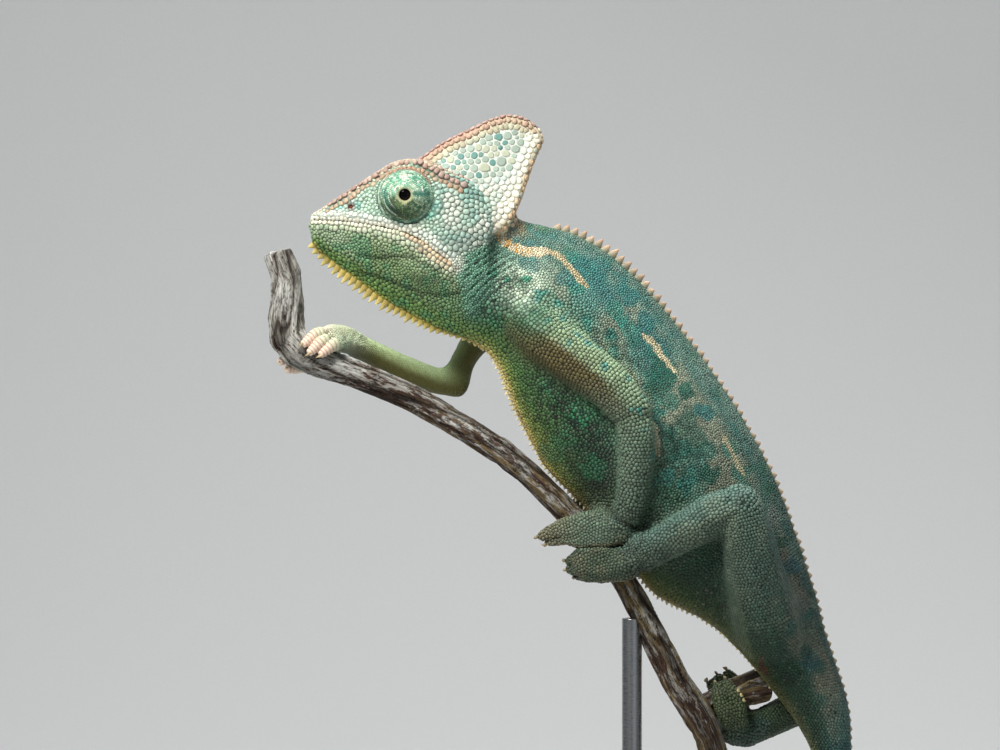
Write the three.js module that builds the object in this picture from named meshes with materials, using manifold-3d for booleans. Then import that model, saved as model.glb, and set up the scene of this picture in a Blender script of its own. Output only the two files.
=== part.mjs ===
// A life-size veiled chameleon climbing a cut length of vine, on a display stand.
// Millimetres, +Z up, head towards -X, the animal's left side towards -Y, the origin under the stand's base.
// The animal's middle plane is Y = 0. Every piece of it is a loft through named stations, joined and trimmed.
import * as THREE from "three";
import { mergeVertices } from "three/addons/utils/BufferGeometryUtils.js";
import Module from "manifold-3d";

const wasm = await Module();
wasm.setup();

// ---------------------------------------------------------------- driving dimensions
const GAP = 0.3; // clearance between neighbouring pieces
const FAR = 400; // reaches past the whole model, for half-space cutters

const EYE = { x: -43.3, z: 237.9, ball: 5.4, depth: 9.7, opening: 1.75, flare: 0.35 };
const TURRET_REACH = 20; // past the outermost point of a turret, for its cutters
const TURRET_PROFILE = [
  // distance from the middle plane, radius: the fused lids from their root to the rim round the pupil
  [7, 7.6],
  [10.4, 7.4],
  [12.8, 6.3],
  [14.7, 4.6],
  [15.8, 2.4],
];

// Crests of spikes. lean: how far a spike tips along its line; fade: the share of height lost by the end.
const SPIKE = { root: 1.2, slim: 0.3, flat: 0.8 };
const GULAR_CREST = { count: 22, kept: 20, first: 3.1, last: 1.0, base: 0.85, fall: 1.5, lean: -0.2 };
const BELLY_CREST = { pitch: 3.2, height: 1.0, base: 0.75, lean: 0 };
const BACK_CREST = {
  pitch: 3.4,
  tall: 2.0,
  low: 0.8,
  base: 1.05,
  lean: 0.25,
  fallFrom: 10,
  fallTo: 34,
  fade: 0.45,
};
const CLAW = { length: 1.9, root: 0.75, middle: 0.45, point: 0.12, clear: 0.35 };

const BASE = { length: 170, width: 100, thickness: 8, corner: 14, bevel: 1.5 };
const ROD_RADIUS = 2.5;
const RODS = { front: { x: 13, top: 133 }, back: { x: 34.5, top: 95 } };

const COIL = { x: 56, z: 52, outer: 17.5, inner: 3.2, turns: 1.8, root: 3.7, tip: 0.9 };

// Body ribs, nape to tail root: back x, back z, belly x, belly z, half width, how low the widest part is,
// how narrow the back is, how narrow the belly is.
const RIBS = [
  [-24, 235.5, -33.5, 206.5, 8.2, 0.1, 0.3, 0.3],
  [-17.5, 233.6, -28, 201.8, 9.2, 0.1, 0.4, 0.35],
  [-10, 232.0, -24, 200.0, 9.6, 0.12, 0.5, 0.4],
  [-3, 230.4, -20.6, 195.0, 10.4, 0.12, 0.5, 0.45],
  [4.8, 226.4, -17.8, 187.0, 11.4, 0.14, 0.5, 0.5],
  [12.3, 220.7, -14.3, 180.1, 12.2, 0.16, 0.5, 0.5],
  [20.9, 211.4, -9.5, 171.1, 12.8, 0.18, 0.5, 0.5],
  [29.8, 200.2, -3.8, 164.8, 13.0, 0.18, 0.5, 0.5],
  [37.7, 188.9, 4, 158, 13.0, 0.16, 0.5, 0.5],
  [44.6, 177.3, 11, 148.4, 12.6, 0.14, 0.5, 0.5],
  [50.2, 165.9, 18.2, 138.2, 11.8, 0.12, 0.5, 0.5],
  [54.8, 153, 26.5, 134.6, 10.8, 0.1, 0.45, 0.45],
  [59, 140, 35, 129, 9.6, 0.05, 0.4, 0.4],
  [62.2, 127.5, 41.2, 122.6, 8.2, 0.0, 0.3, 0.3],
  [66.2, 116.5, 47, 115.4, 6.9, 0.0, 0.2, 0.25],
  [68.0, 107.5, 52.6, 108.4, 5.9, 0.0, 0.15, 0.2],
  [68.2, 99, 57.4, 100, 5.2, 0.0, 0.1, 0.15],
  [69.0, 90.4, 60.0, 91.6, 4.7, 0.0, 0.1, 0.1],
  [71.2, 81.6, 62.6, 83.4, 4.5, 0.0, 0.1, 0.1],
];

// Head sections: x, crown z, brow z, mouth z, chin z, then half widths of crown, brow, cheek, lip, jaw, chin.
const HEAD = [
  [-67.6, 232.9, 232.3, 231.4, 229.4, 0.8, 1.4, 1.8, 2.0, 1.7, 0.7],
  [-66, 234.9, 234.2, 232.2, 225.6, 2.0, 3.2, 3.9, 4.4, 3.5, 0.8],
  [-62, 236.6, 235.9, 232.1, 221.9, 2.7, 4.6, 5.2, 6.1, 4.8, 0.8],
  [-57, 239.8, 239.1, 231.7, 218.3, 3.5, 6.2, 6.7, 8.0, 6.1, 0.8],
  [-52, 243.0, 242.4, 230.8, 214.4, 4.2, 7.5, 8.0, 9.5, 7.2, 0.8],
  [-47, 246.1, 245.4, 229.8, 211.0, 4.8, 8.5, 9.2, 10.7, 8.1, 0.8],
  [-42, 247.4, 246.6, 228.2, 208.3, 5.0, 9.2, 10.4, 11.7, 8.8, 0.8],
  [-37, 246.4, 244.6, 225.0, 205.7, 4.8, 9.6, 11.5, 12.3, 9.2, 0.8],
  [-32, 244.6, 242.2, 222.0, 203.2, 4.6, 9.8, 12.1, 12.3, 9.4, 0.9],
  [-27, 241.5, 239.0, 220.0, 202.6, 4.2, 9.4, 11.8, 11.6, 9.2, 1.2],
  [-22.5, 237.0, 234.0, 218.5, 204.5, 3.5, 8.6, 10.4, 10.2, 8.4, 1.6],
];

// Casque sections: x, top z, bottom z, then half widths at the top rim, half way down and at the bottom.
const CASQUE = [
  [-43.5, 246.6, 241, 1.4, 3.0, 4.5],
  [-40, 247.9, 240, 1.4, 4.0, 7.0],
  [-35, 251.8, 238, 1.2, 4.6, 8.6],
  [-30, 254.4, 236, 1.1, 4.7, 8.8],
  [-25, 256.7, 232.5, 1.1, 4.6, 8.6],
  [-20.8, 258.6, 228.3, 1.1, 4.4, 8.2],
  [-18, 259.1, 231.3, 1.1, 4.1, 7.4],
  [-15.6, 258.9, 236, 1.1, 3.6, 6.2],
  [-13.8, 258.3, 241, 1.1, 3.1, 4.8],
  [-12, 257.3, 246.4, 1.1, 2.5, 3.4],
  [-10.2, 255.4, 250, 1.0, 1.8, 2.1],
  [-9.2, 253.6, 251.8, 0.8, 1.0, 1.0],
];

// The slit of the mouth from the snout to its corner, then the back edge of the jaw down to the throat.
const JAW_EDGE = [
  [-72, 232.4],
  [-67, 232.3],
  [-57.5, 231.8],
  [-52.5, 231],
  [-47.5, 230],
  [-43.8, 229],
  [-39.5, 227],
  [-35.8, 224],
  [-32, 221.6],
  [-30, 216],
  [-28.6, 208],
  [-27, 196],
];

// The space below that slit; lean: how much of its clearance opens forwards.
const JAW_SPACE = { front: -90, floor: 150, back: -25, width: 60, lean: 0.7 };

// The line of the chin that carries the gular crest.
const CHIN_LINE = [
  [-66.2, 226.4],
  [-64.8, 224.2],
  [-62, 221.7],
  [-57, 218.1],
  [-52, 214.2],
  [-47, 210.8],
  [-42, 208.1],
  [-37, 205.5],
  [-32.5, 203.2],
  [-29, 201.9],
];

// Limbs: stations of x, y, z, radius.
const LIMBS = {
  left: {
    upper_arm: [
      [-14, -6, 207.6, 6.8],
      [-8.5, -10.4, 203, 6.7],
      [-0.5, -12.9, 196.9, 6.3],
      [7.1, -14.4, 190.8, 5.9],
      [12.2, -15, 184.8, 5.3],
    ],
    forearm: [
      [12.2, -15, 184.8, 5.2],
      [13.6, -14.4, 178.5, 5.0],
      [13.3, -12.8, 170.5, 4.7],
      [12.5, -11, 163.5, 4.4],
      [11, -9.4, 158.6, 4.2],
    ],
    thigh: [
      [48, -4, 127, 8.4],
      [45.6, -9.5, 135, 8.4],
      [42.4, -13.6, 145.5, 7.3],
      [40.4, -16, 155, 6.5],
      [38.6, -16.6, 161.1, 6.2],
    ],
    shank: [
      [38.2, -16.6, 161.2, 6.1],
      [32.3, -16, 159.2, 5.7],
      [26.2, -14.6, 155.9, 5.1],
      [19.5, -12.2, 152.1, 4.7],
      [14.2, -10, 148.9, 4.6],
    ],
  },
  right: {
    upper_arm: [
      [-13, 5, 208, 6.2],
      [-19.4, 11, 206.2, 5.0],
      [-26.4, 14.6, 202.4, 4.0],
      [-30, 16, 196.4, 3.6],
      [-30.8, 16.2, 190.7, 3.7],
    ],
    forearm: [
      [-30.8, 16.2, 190.7, 3.7],
      [-37.5, 15, 192.5, 3.8],
      [-45.5, 12, 195.8, 3.7],
      [-52.5, 8.6, 199.4, 3.4],
      [-57.5, 5.4, 201.8, 3.5],
    ],
    thigh: [
      [49, 3, 127.5, 8.0],
      [54, 9.5, 122.5, 7.4],
      [59, 14.4, 116, 6.3],
      [61, 16.2, 110.8, 5.7],
    ],
    shank: [
      [61, 16.2, 110.8, 5.5],
      [55, 14, 108.8, 4.7],
      [47.5, 10, 105.8, 4.3],
      [41.6, 6.4, 103.6, 4.2],
      [38.6, 4.6, 104.4, 4.0],
    ],
  },
};

// Hands and feet: a palm, then an outer and an inner bundle of toes that close round the branch.
const PAWS = {
  hand_left: {
    palm: [
      [11.2, -9.2, 158, 4.1],
      [7.5, -6.8, 156.6, 4.6],
      [4, -5.4, 156.9, 4.0],
    ],
    outer: [
      [[7, -7.4, 157.2, 3.3], [1, -7.4, 157.3, 2.9], [-5, -6.7, 155.8, 2.4], [-9.6, -5.0, 153.9, 1.5]],
      [[7, -7.2, 154.5, 2.6], [1, -7.2, 154.1, 2.4], [-4, -6.4, 153.3, 1.9], [-7.8, -5.1, 152.1, 1.2]],
    ],
    inner: [
      [[8, -5, 160, 2.3], [4.2, -3, 162.3, 2.2], [0.4, 2.6, 162.6, 2.0], [-2.8, 6.2, 159.8, 1.4]],
      [[8.6, -4.4, 158.4, 2.3], [6, -1.4, 160.2, 2.1], [3.2, 4, 159.8, 2.0], [0, 7, 156.8, 1.4]],
      [[9.2, -4, 156.8, 2.2], [8.2, -0.4, 157.6, 2.0], [5.8, 4.8, 156.6, 1.9], [2.6, 7, 153.4, 1.3]],
    ],
  },
  hand_right: {
    palm: [
      [-55.5, 6.6, 201.2, 3.6],
      [-59.5, 3.6, 202.9, 3.8],
      [-62.6, 0.6, 203.6, 3.3],
    ],
    outer: [
      [[-62, 3.4, 203.2, 2.3], [-67.4, 6.4, 201.6, 2.1], [-71.8, 5.4, 199.2, 1.9], [-74, 2.8, 197.8, 1.3]],
      [[-60.5, 4, 201.6, 2.3], [-65, 7, 198.9, 2.1], [-69.6, 6, 196.3, 1.9], [-72.2, 2.9, 195.8, 1.3]],
    ],
    inner: [
      [[-62, -1.2, 204.2, 2.1], [-65.4, -3.8, 203.9, 1.9], [-68.1, -5, 201.9, 1.3]],
      [[-61.2, -1.6, 203, 2.1], [-64, -4.6, 202.2, 1.9], [-66.6, -5.6, 199.9, 1.3]],
      [[-59.6, -1.4, 202, 2.1], [-61.6, -4.4, 201.2, 1.9], [-63.8, -5.4, 199.4, 1.3]],
    ],
  },
  foot_left: {
    palm: [
      [14.2, -9.6, 148.2, 4.2],
      [10.5, -7.4, 146.4, 4.2],
      [7.5, -6.6, 146.3, 3.9],
    ],
    outer: [
      [[9, -7.4, 147.8, 2.3], [4, -7.6, 148.3, 2.2], [-0.5, -6.9, 148.2, 2.0], [-2.8, -4.4, 147.6, 1.4]],
      [[9, -7.6, 146.2, 2.5], [4, -7.6, 146.1, 2.4], [-0.4, -6.8, 145.9, 2.1], [-2.6, -4.2, 145.4, 1.4]],
      [[9, -7.4, 144.6, 2.3], [5, -7.2, 144.2, 2.1], [1.4, -6.4, 144, 1.9], [-0.6, -4, 143.7, 1.3]],
    ],
    inner: [
      [[11, -3, 148.6, 2.5], [9.8, 3, 149.4, 2.4], [6.6, 7, 147.8, 2.2], [2.6, 6.4, 145.6, 1.5]],
      [[11.4, -3, 146.6, 2.4], [11.6, 3.4, 146.6, 2.2], [9.8, 7.2, 144.8, 2.0], [6.6, 6.6, 143.8, 1.4]],
    ],
  },
  foot_right: {
    palm: [
      [39, 5, 104, 4.1],
      [38.2, 4.4, 107, 4.0],
      [38.4, 5.6, 108.8, 3.6],
    ],
    outer: [
      [[41, 10, 107, 2.4], [41.6, 14.6, 111, 2.2], [40.4, 15, 115.2, 2.1], [38, 13, 118, 1.4]],
      [[39, 10, 106.6, 2.4], [38.6, 13.8, 110.2, 2.2], [37.6, 14, 114.2, 2.1], [35.6, 12, 117, 1.4]],
      [[37, 9, 106.2, 2.2], [35.8, 12.6, 109.4, 2.1], [34.8, 12.8, 113, 2.0], [33.2, 10.6, 115.6, 1.3]],
    ],
    inner: [
      [[39.6, 2.4, 106.4, 3.0], [39.2, 0.8, 110.4, 2.9], [37.8, 1.2, 114, 2.5], [37, 3.4, 116.2, 1.7]],
      [[36.8, 1.8, 106.4, 2.9], [35.8, -0.2, 110.2, 2.8], [34.8, 0.2, 113.4, 2.4], [34.4, 2.6, 115.4, 1.6]],
    ],
  },
};

// The cut length of vine, from its upper end down, and the side shoot that the right hind foot holds.
const PERCH = [
  [-75.6, 0.6, 224.6, 3.6],
  [-72.9, 0.2, 216.8, 3.9],
  [-73.4, 0, 209, 4.3],
  [-73.2, 0, 203.2, 4.5],
  [-68.8, 0, 198.7, 4.2],
  [-60, 0, 195.2, 3.6],
  [-50, 0, 191.3, 3.4],
  [-40, 0, 186.8, 3.4],
  [-30, 0, 181.4, 3.3],
  [-20, 0, 174.9, 3.3],
  [-10, 0, 166.4, 3.3],
  [-1.3, 0, 157.5, 3.3],
  [5.4, 0, 149.6, 3.3],
  [12, 0, 141, 3.3],
  [18.4, 0, 128.4, 3.4],
  [23.8, 0, 117.6, 3.5],
  [29, 0, 109.6, 3.8],
  [32.6, 0, 102.4, 3.8],
  [34.5, 0, 92, 3.6],
];
const SHOOT = [
  [29, 1.5, 109.4, 3.2],
  [33.4, 5.4, 110.9, 3.4],
  [38.4, 8.4, 113, 3.7],
  [43, 10.4, 114.8, 4.4],
  [47.6, 11.6, 115.6, 4.6],
];

const FLESH = { roughness: 0.75, metalness: 0 };
const FINISH = {
  head: { color: "#a9d3bd", ...FLESH },
  casque: { color: "#d9d6bd", ...FLESH },
  jaw: { color: "#a5cf9c", ...FLESH },
  body: { color: "#5fae9a", ...FLESH },
  belly: { color: "#6fae7c", ...FLESH },
  limb: { color: "#8fc2ab", ...FLESH },
  paw: { color: "#bcd8bf", ...FLESH },
  eye: { color: "#15120c", roughness: 0.12, metalness: 0 },
  claw: { color: "#e6dcb8", roughness: 0.4, metalness: 0 },
  wood: { color: "#7d6c5c", roughness: 0.85, metalness: 0 },
  stand: { color: "#2c2e30", roughness: 0.4, metalness: 0 },
  steel: { color: "#b9bcbf", roughness: 0.3, metalness: 1 },
};

// ---------------------------------------------------------------- solids
const model = new THREE.Group();
model.name = "veiled_chameleon";

/** A solid of a closed geometry, faces turned outwards. */
function solidOf(geometry) {
  const bare = new THREE.BufferGeometry();
  bare.setAttribute("position", geometry.getAttribute("position"));
  if (geometry.index) bare.setIndex(geometry.index);
  const merged = mergeVertices(bare, 1e-4);
  const make = (triVerts) =>
    new wasm.Manifold(
      new wasm.Mesh({ numProp: 3, vertProperties: merged.attributes.position.array, triVerts }),
    );
  const made = make(new Uint32Array(merged.index.array));
  return made.volume() > 0 ? made : make(new Uint32Array(merged.index.array).reverse());
}

/** The largest body of a solid, which drops the slivers that a cut leaves. */
function largest(solid) {
  return solid.decompose().sort((a, b) => b.volume() - a.volume())[0];
}

const unite = (solids) => solids.reduce((all, one) => all.add(one));

/** Adds a solid to the model as a named mesh. */
function place(name, solid, finish) {
  const { vertProperties, triVerts } = largest(solid).getMesh();
  const geometry = new THREE.BufferGeometry();
  geometry.setAttribute("position", new THREE.BufferAttribute(vertProperties, 3));
  geometry.setIndex(new THREE.BufferAttribute(triVerts, 1));
  geometry.computeVertexNormals();
  const mesh = new THREE.Mesh(geometry, new THREE.MeshStandardMaterial(FINISH[finish]));
  mesh.name = name;
  model.add(mesh);
}

/** Catmull-Rom through evenly spaced rows of numbers: the row at t, from 0 to 1. */
function rowAt(rows, t) {
  const last = rows.length - 1;
  const i = Math.min(Math.floor(t * last), last - 1);
  const u = t * last - i;
  const row = (k) => rows[THREE.MathUtils.clamp(k, 0, last)];
  return rows[0].map((_, c) => {
    const [a, b, d, e] = [row(i - 1)[c], row(i)[c], row(i + 1)[c], row(i + 2)[c]];
    return b + 0.5 * u * (d - a + u * (2 * a - 5 * b + 4 * d - e + u * (3 * (b - d) + e - a)));
  });
}

/** A closed solid over rings of equally many points, with a pole at each end. */
function skinOver(rings) {
  const sides = rings[0].length;
  const mean = (ring) => ring.reduce((s, p) => s.add(p), new THREE.Vector3()).divideScalar(sides);
  const points = [mean(rings[0]), ...rings.flat(), mean(rings[rings.length - 1])];
  const end = points.length - 1;
  const faces = [];
  for (let s = 0; s < sides; s++) {
    const next = (s + 1) % sides;
    faces.push(0, 1 + next, 1 + s);
    for (let r = 0; r < rings.length - 1; r++) {
      const a = 1 + r * sides;
      const b = a + sides;
      faces.push(a + s, a + next, b + s, a + next, b + next, b + s);
    }
    faces.push(end, end - sides + s, end - sides + next);
  }
  const geometry = new THREE.BufferGeometry().setFromPoints(points);
  return solidOf(geometry.setIndex(faces));
}

/** A round limb along stations of x, y, z, radius. dome: rings of its domed end; from, to: its stretch. */
function sweep(stations, { sides, steps, dome = 0, grow = 0, from = 0, to = 1 }) {
  const centre = (t) => new THREE.Vector3(...rowAt(stations, THREE.MathUtils.clamp(t, 0, 1)));
  const ringAt = (t, share = 1, ahead = 0) => {
    const radius = rowAt(stations, t)[3] / Math.sqrt(Math.cos(Math.PI / sides)) + grow;
    const along = centre(t + 1e-3).sub(centre(t - 1e-3)).normalize();
    const side = new THREE.Vector3(0, 1, 0).addScaledVector(along, -along.y).normalize();
    const up = new THREE.Vector3().crossVectors(along, side);
    const middle = centre(t).addScaledVector(along, ahead * radius);
    return Array.from({ length: sides }, (_, s) => {
      const turn = (2 * Math.PI * s) / sides;
      return middle
        .clone()
        .addScaledVector(side, Math.cos(turn) * radius * share)
        .addScaledVector(up, Math.sin(turn) * radius * share);
    });
  };
  const rings = [];
  for (let k = 0; k <= steps; k++) rings.push(ringAt(from + ((to - from) * k) / steps));
  for (let k = 1; k <= dome; k++) {
    const climb = ((Math.PI / 2) * k) / (dome + 0.5);
    rings.push(ringAt(to, Math.cos(climb), Math.sin(climb)));
  }
  return skinOver(rings);
}

/** A box that fills the space on one side of a plane through x, z at right angles to the direction. */
function sideOf(x, z, direction, clear = GAP / 2) {
  const box = new THREE.BoxGeometry(FAR, FAR, FAR);
  box.translate(FAR / 2 + clear, 0, 0);
  box.rotateY(-Math.atan2(direction.z, direction.x));
  box.translate(x, 0, z);
  return solidOf(box);
}

// ---------------------------------------------------------------- body
const RIB_SIDES = 16;
const RIB_STEPS = 24;

/** The body from nape to tail root, grown by a clearance where it trims a neighbour. */
function bodySolid(grow = 0) {
  const rings = [];
  for (let k = 0; k <= RIB_STEPS; k++) {
    const [backX, backZ, bellyX, bellyZ, half, low, ridge, keel] = rowAt(RIBS, k / RIB_STEPS);
    const back = new THREE.Vector3(backX, 0, backZ);
    const belly = new THREE.Vector3(bellyX, 0, bellyZ);
    const middle = back.clone().add(belly).multiplyScalar(0.5);
    const reach = back.distanceTo(belly) / 2 + grow;
    const up = back.clone().sub(belly).normalize();
    rings.push(
      Array.from({ length: RIB_SIDES }, (_, s) => {
        const turn = (2 * Math.PI * (s + 0.5)) / RIB_SIDES;
        const rise = Math.sin(turn);
        const pinch = 1 - (rise > 0 ? ridge : keel) * rise * rise;
        const wide = Math.cos(turn) * (half + grow) * pinch;
        const height = (rise / Math.sin(Math.PI / 2 - Math.PI / RIB_SIDES)) - low * Math.cos(turn) ** 2;
        const point = middle.clone().addScaledVector(up, reach * height);
        return point.setY(wide);
      }),
    );
  }
  return skinOver(rings);
}

/** A row of flat spikes along a line in the middle plane, standing out on the side given. */
function crest(curve, count, heightAt, { base, lean }, side) {
  return Array.from({ length: count }, (_, k) => {
    const t = (k + 0.5) / count;
    const height = heightAt(t);
    const along = curve.getTangentAt(t);
    const out = new THREE.Vector3(-along.z * side, 0, along.x * side);
    out.addScaledVector(along, lean).normalize();
    const spike = new THREE.ConeGeometry(1, height + SPIKE.root, 3, 1);
    spike.translate(0, (height - SPIKE.root) / 2, 0);
    const width = base * (1 - SPIKE.slim * (1 - height / heightAt(0)));
    spike.scale(width, 1, width * SPIKE.flat);
    spike.applyQuaternion(new THREE.Quaternion().setFromUnitVectors(new THREE.Vector3(0, 1, 0), out));
    const foot = curve.getPointAt(t);
    spike.translate(foot.x, foot.y, foot.z);
    return solidOf(spike);
  });
}

const flatCurve = (pairs) => new THREE.CatmullRomCurve3(pairs.map(([x, z]) => new THREE.Vector3(x, 0, z)));
const backLine = flatCurve(RIBS.slice(3).map((rib) => [rib[0], rib[1]]));
const bellyLine = flatCurve(RIBS.slice(2, -4).map((rib) => [rib[2], rib[3]]));
const chinLine = flatCurve(CHIN_LINE);

const backSpikes = crest(
  backLine,
  Math.round(backLine.getLength() / BACK_CREST.pitch),
  (t) => {
    const { x } = backLine.getPointAt(t);
    const fallen = THREE.MathUtils.smoothstep(x, BACK_CREST.fallFrom, BACK_CREST.fallTo);
    return THREE.MathUtils.lerp(BACK_CREST.tall, BACK_CREST.low, fallen) * (1 - BACK_CREST.fade * t);
  },
  BACK_CREST,
  1,
);
const bellySpikes = crest(
  bellyLine,
  Math.round(bellyLine.getLength() / BELLY_CREST.pitch),
  () => BELLY_CREST.height,
  BELLY_CREST,
  -1,
);
const gularSpikes = crest(
  chinLine,
  GULAR_CREST.count,
  (t) => THREE.MathUtils.lerp(GULAR_CREST.first, GULAR_CREST.last, t ** GULAR_CREST.fall),
  GULAR_CREST,
  -1,
);

// ---------------------------------------------------------------- head
const HEAD_STEPS = 12;
const HEAD_LEVELS = 8;
const CASQUE_STEPS = 12;
const CASQUE_LEVELS = 4;
const CASQUE_MIDDLE = 0.55; // how far down its middle width is given
const LIP_RISE = 0.8; // how far the fullest line of the lip lies above the mouth slit

/** A ring down one side of a section and up the other, through a profile of half widths and heights. */
function sectionRing(profile, levels, x, grow) {
  const half = Array.from({ length: levels }, (_, level) => {
    const [wide, z] = rowAt(profile, level / (levels - 1));
    const lift = level === 0 ? grow : level === levels - 1 ? -grow : 0;
    return new THREE.Vector3(x, -wide - grow, z + lift);
  });
  return [...half, ...half.map((p) => p.clone().setY(-p.y)).reverse()];
}

/** The head and jaws, without the casque. */
function skullSolid(grow = 0) {
  const rings = [];
  for (let k = 0; k <= HEAD_STEPS; k++) {
    const row = rowAt(HEAD, k / HEAD_STEPS);
    const [x, crown, brow, mouth, chin, crownHalf, browHalf, cheekHalf, lipHalf, jawHalf, chinHalf] = row;
    const profile = [
      [crownHalf, crown],
      [browHalf, brow],
      [cheekHalf, THREE.MathUtils.lerp(brow, mouth, 0.5)],
      [lipHalf, mouth + LIP_RISE],
      [jawHalf, THREE.MathUtils.lerp(mouth, chin, 0.5)],
      [chinHalf, chin],
    ];
    const reach = k === 0 ? x - grow : k === HEAD_STEPS ? x + grow : x;
    rings.push(sectionRing(profile, HEAD_LEVELS, reach, grow));
  }
  return skinOver(rings);
}

/** The tall casque, a blade that widens down to the brows and overhangs the nape. */
function casqueSolid(grow = 0) {
  const rings = [];
  for (let k = 0; k <= CASQUE_STEPS; k++) {
    const [x, top, bottom, topHalf, middleHalf, bottomHalf] = rowAt(CASQUE, k / CASQUE_STEPS);
    const profile = [
      [topHalf, top],
      [middleHalf, THREE.MathUtils.lerp(top, bottom, CASQUE_MIDDLE)],
      [bottomHalf, bottom],
    ];
    const reach = k === 0 ? x - grow : k === CASQUE_STEPS ? x + grow : x;
    rings.push(sectionRing(profile, CASQUE_LEVELS, reach, grow));
  }
  return skinOver(rings);
}

const EYE_SIDES = 12;

/** A turned form round the eye's axis, from pairs of distance from the middle plane and radius. */
function turnedOnEyeAxis(profile, side) {
  const outline = [[profile[0][0], 0], ...profile, [profile[profile.length - 1][0], 0]];
  const form = new THREE.LatheGeometry(
    outline.map(([y, r]) => new THREE.Vector2(r, y)),
    EYE_SIDES,
  );
  if (side < 0) form.rotateX(Math.PI);
  form.translate(EYE.x, 0, EYE.z);
  return solidOf(form);
}

function eyeballSolid(side, grow = 0) {
  const ball = new THREE.SphereGeometry(EYE.ball + grow, 10, 7);
  ball.rotateX(Math.PI / 2);
  ball.translate(EYE.x, side * EYE.depth, EYE.z);
  return solidOf(ball);
}

/** All that lies under the mouth slit, through the whole width of the head, moved down by a clearance. */
function jawCutter(shift) {
  const { front, floor, back, width } = JAW_SPACE;
  const outline = new THREE.Shape();
  outline.moveTo(front, floor);
  outline.lineTo(front, JAW_EDGE[0][1]);
  JAW_EDGE.forEach(([x, z]) => outline.lineTo(x, z));
  outline.lineTo(back, floor);
  outline.closePath();
  const form = new THREE.ExtrudeGeometry(outline, { depth: width, bevelEnabled: false });
  form.rotateX(Math.PI / 2);
  form.translate(-shift * JAW_SPACE.lean, width / 2, -shift);
  return solidOf(form);
}

// ---------------------------------------------------------------- perch
const perchSolid = (grow = 0) =>
  sweep(PERCH, { sides: 7, steps: 24, grow }).add(
    sweep(SHOOT, { sides: 7, steps: 2, grow }),
  );
const perch = perchSolid();
const perchRoom = perchSolid(GAP);

// ---------------------------------------------------------------- limbs and paws
const bodyRoom = bodySolid(GAP);
const LIMB = { sides: 8, steps: 4, dome: 2 };
const PALM = { sides: 6, steps: 2, dome: 1 };
const TOE = { sides: 5, steps: 3, dome: 1 };
const bodyCutters = [];

for (const side of ["left", "right"]) {
  const limbs = LIMBS[side];
  for (const [near, far, paw] of [
    ["upper_arm", "forearm", "hand"],
    ["thigh", "shank", "foot"],
  ]) {
    const upper = sweep(limbs[near], LIMB);
    const upperRoom = sweep(limbs[near], { ...LIMB, grow: GAP });
    const lower = sweep(limbs[far], LIMB);
    const lowerRoom = sweep(limbs[far], { ...LIMB, grow: GAP });
    place(`${near}_${side}`, upper.subtract(bodyRoom).subtract(perchRoom), "limb");
    const lowerBody = lower.subtract(upperRoom).subtract(bodyRoom).subtract(perchRoom);
    place(`${far}_${side}`, lowerBody, "limb");

    const { palm, outer, inner } = PAWS[`${paw}_${side}`];
    const palmRoom = sweep(palm, { ...PALM, grow: GAP });
    const bundle = (toes, grow = 0) => unite(toes.map((toe) => sweep(toe, { ...TOE, grow })));
    const blockers = lowerRoom.add(perchRoom).add(upperRoom);
    const outerToes = bundle(outer);
    const innerToes = bundle(inner).subtract(palmRoom.add(bundle(outer, GAP)));
    const palmAndOuter = sweep(palm, PALM).add(outerToes);
    place(`${paw}_outer_${side}`, palmAndOuter.subtract(blockers).subtract(bodyRoom), "paw");
    place(`${paw}_inner_${side}`, innerToes.subtract(blockers), "paw");
    bodyCutters.push(bundle(inner, GAP));

    // The claws hook towards the middle of the grip.
    const tips = [...outer, ...inner].map((toe) => new THREE.Vector3(...toe.at(-1)));
    const grip = tips.reduce((sum, tip) => sum.add(tip), new THREE.Vector3()).divideScalar(tips.length);
    for (const [bundleName, toes] of [
      ["outer", outer],
      ["inner", inner],
    ])
      toes.forEach((toe, index) => {
        const tip = new THREE.Vector3(...toe.at(-1));
        const before = new THREE.Vector3(...toe.at(-2));
        const radius = toe.at(-1)[3];
        const ahead = tip.clone().sub(before).normalize();
        const start = tip.clone().addScaledVector(ahead, radius + CLAW.clear);
        const hook = ahead.clone().add(grip.clone().sub(tip).normalize()).normalize();
        const middle = start.clone().addScaledVector(ahead, CLAW.length / 2);
        const point = middle.clone().addScaledVector(hook, CLAW.length / 2);
        const claw = sweep(
          [
            [...start.toArray(), CLAW.root],
            [...middle.toArray(), CLAW.middle],
            [...point.toArray(), CLAW.point],
          ],
          { sides: 4, steps: 2 },
        );
        place(`claw_${paw}_${bundleName}_${index + 1}_${side}`, claw, "claw");
      });
  }
}

// ---------------------------------------------------------------- the pieces of the body
const skull = skullSolid();
const casqueRoom = casqueSolid(GAP);
const headRoom = skullSolid(GAP).add(casqueRoom);
const turrets = [-1, 1].map((side) => turnedOnEyeAxis(TURRET_PROFILE, side));
const sockets = [-1, 1].map((side) => {
  const wide = TURRET_PROFILE[0][1] + GAP;
  return turnedOnEyeAxis(
    [
      [EYE.depth - EYE.ball - GAP, wide],
      [TURRET_REACH, wide],
    ],
    side,
  );
});
const eyeSpace = unite(sockets);

place("head", skull.subtract(jawCutter(-GAP / 2)).subtract(eyeSpace).subtract(casqueRoom), "head");
place("casque", casqueSolid().subtract(eyeSpace).subtract(jawCutter(-GAP / 2)), "casque");
const jaw = skull.intersect(jawCutter(GAP / 2)).add(unite(gularSpikes.slice(0, GULAR_CREST.kept)));
place("lower_jaw", jaw.subtract(eyeSpace), "jaw");

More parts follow.
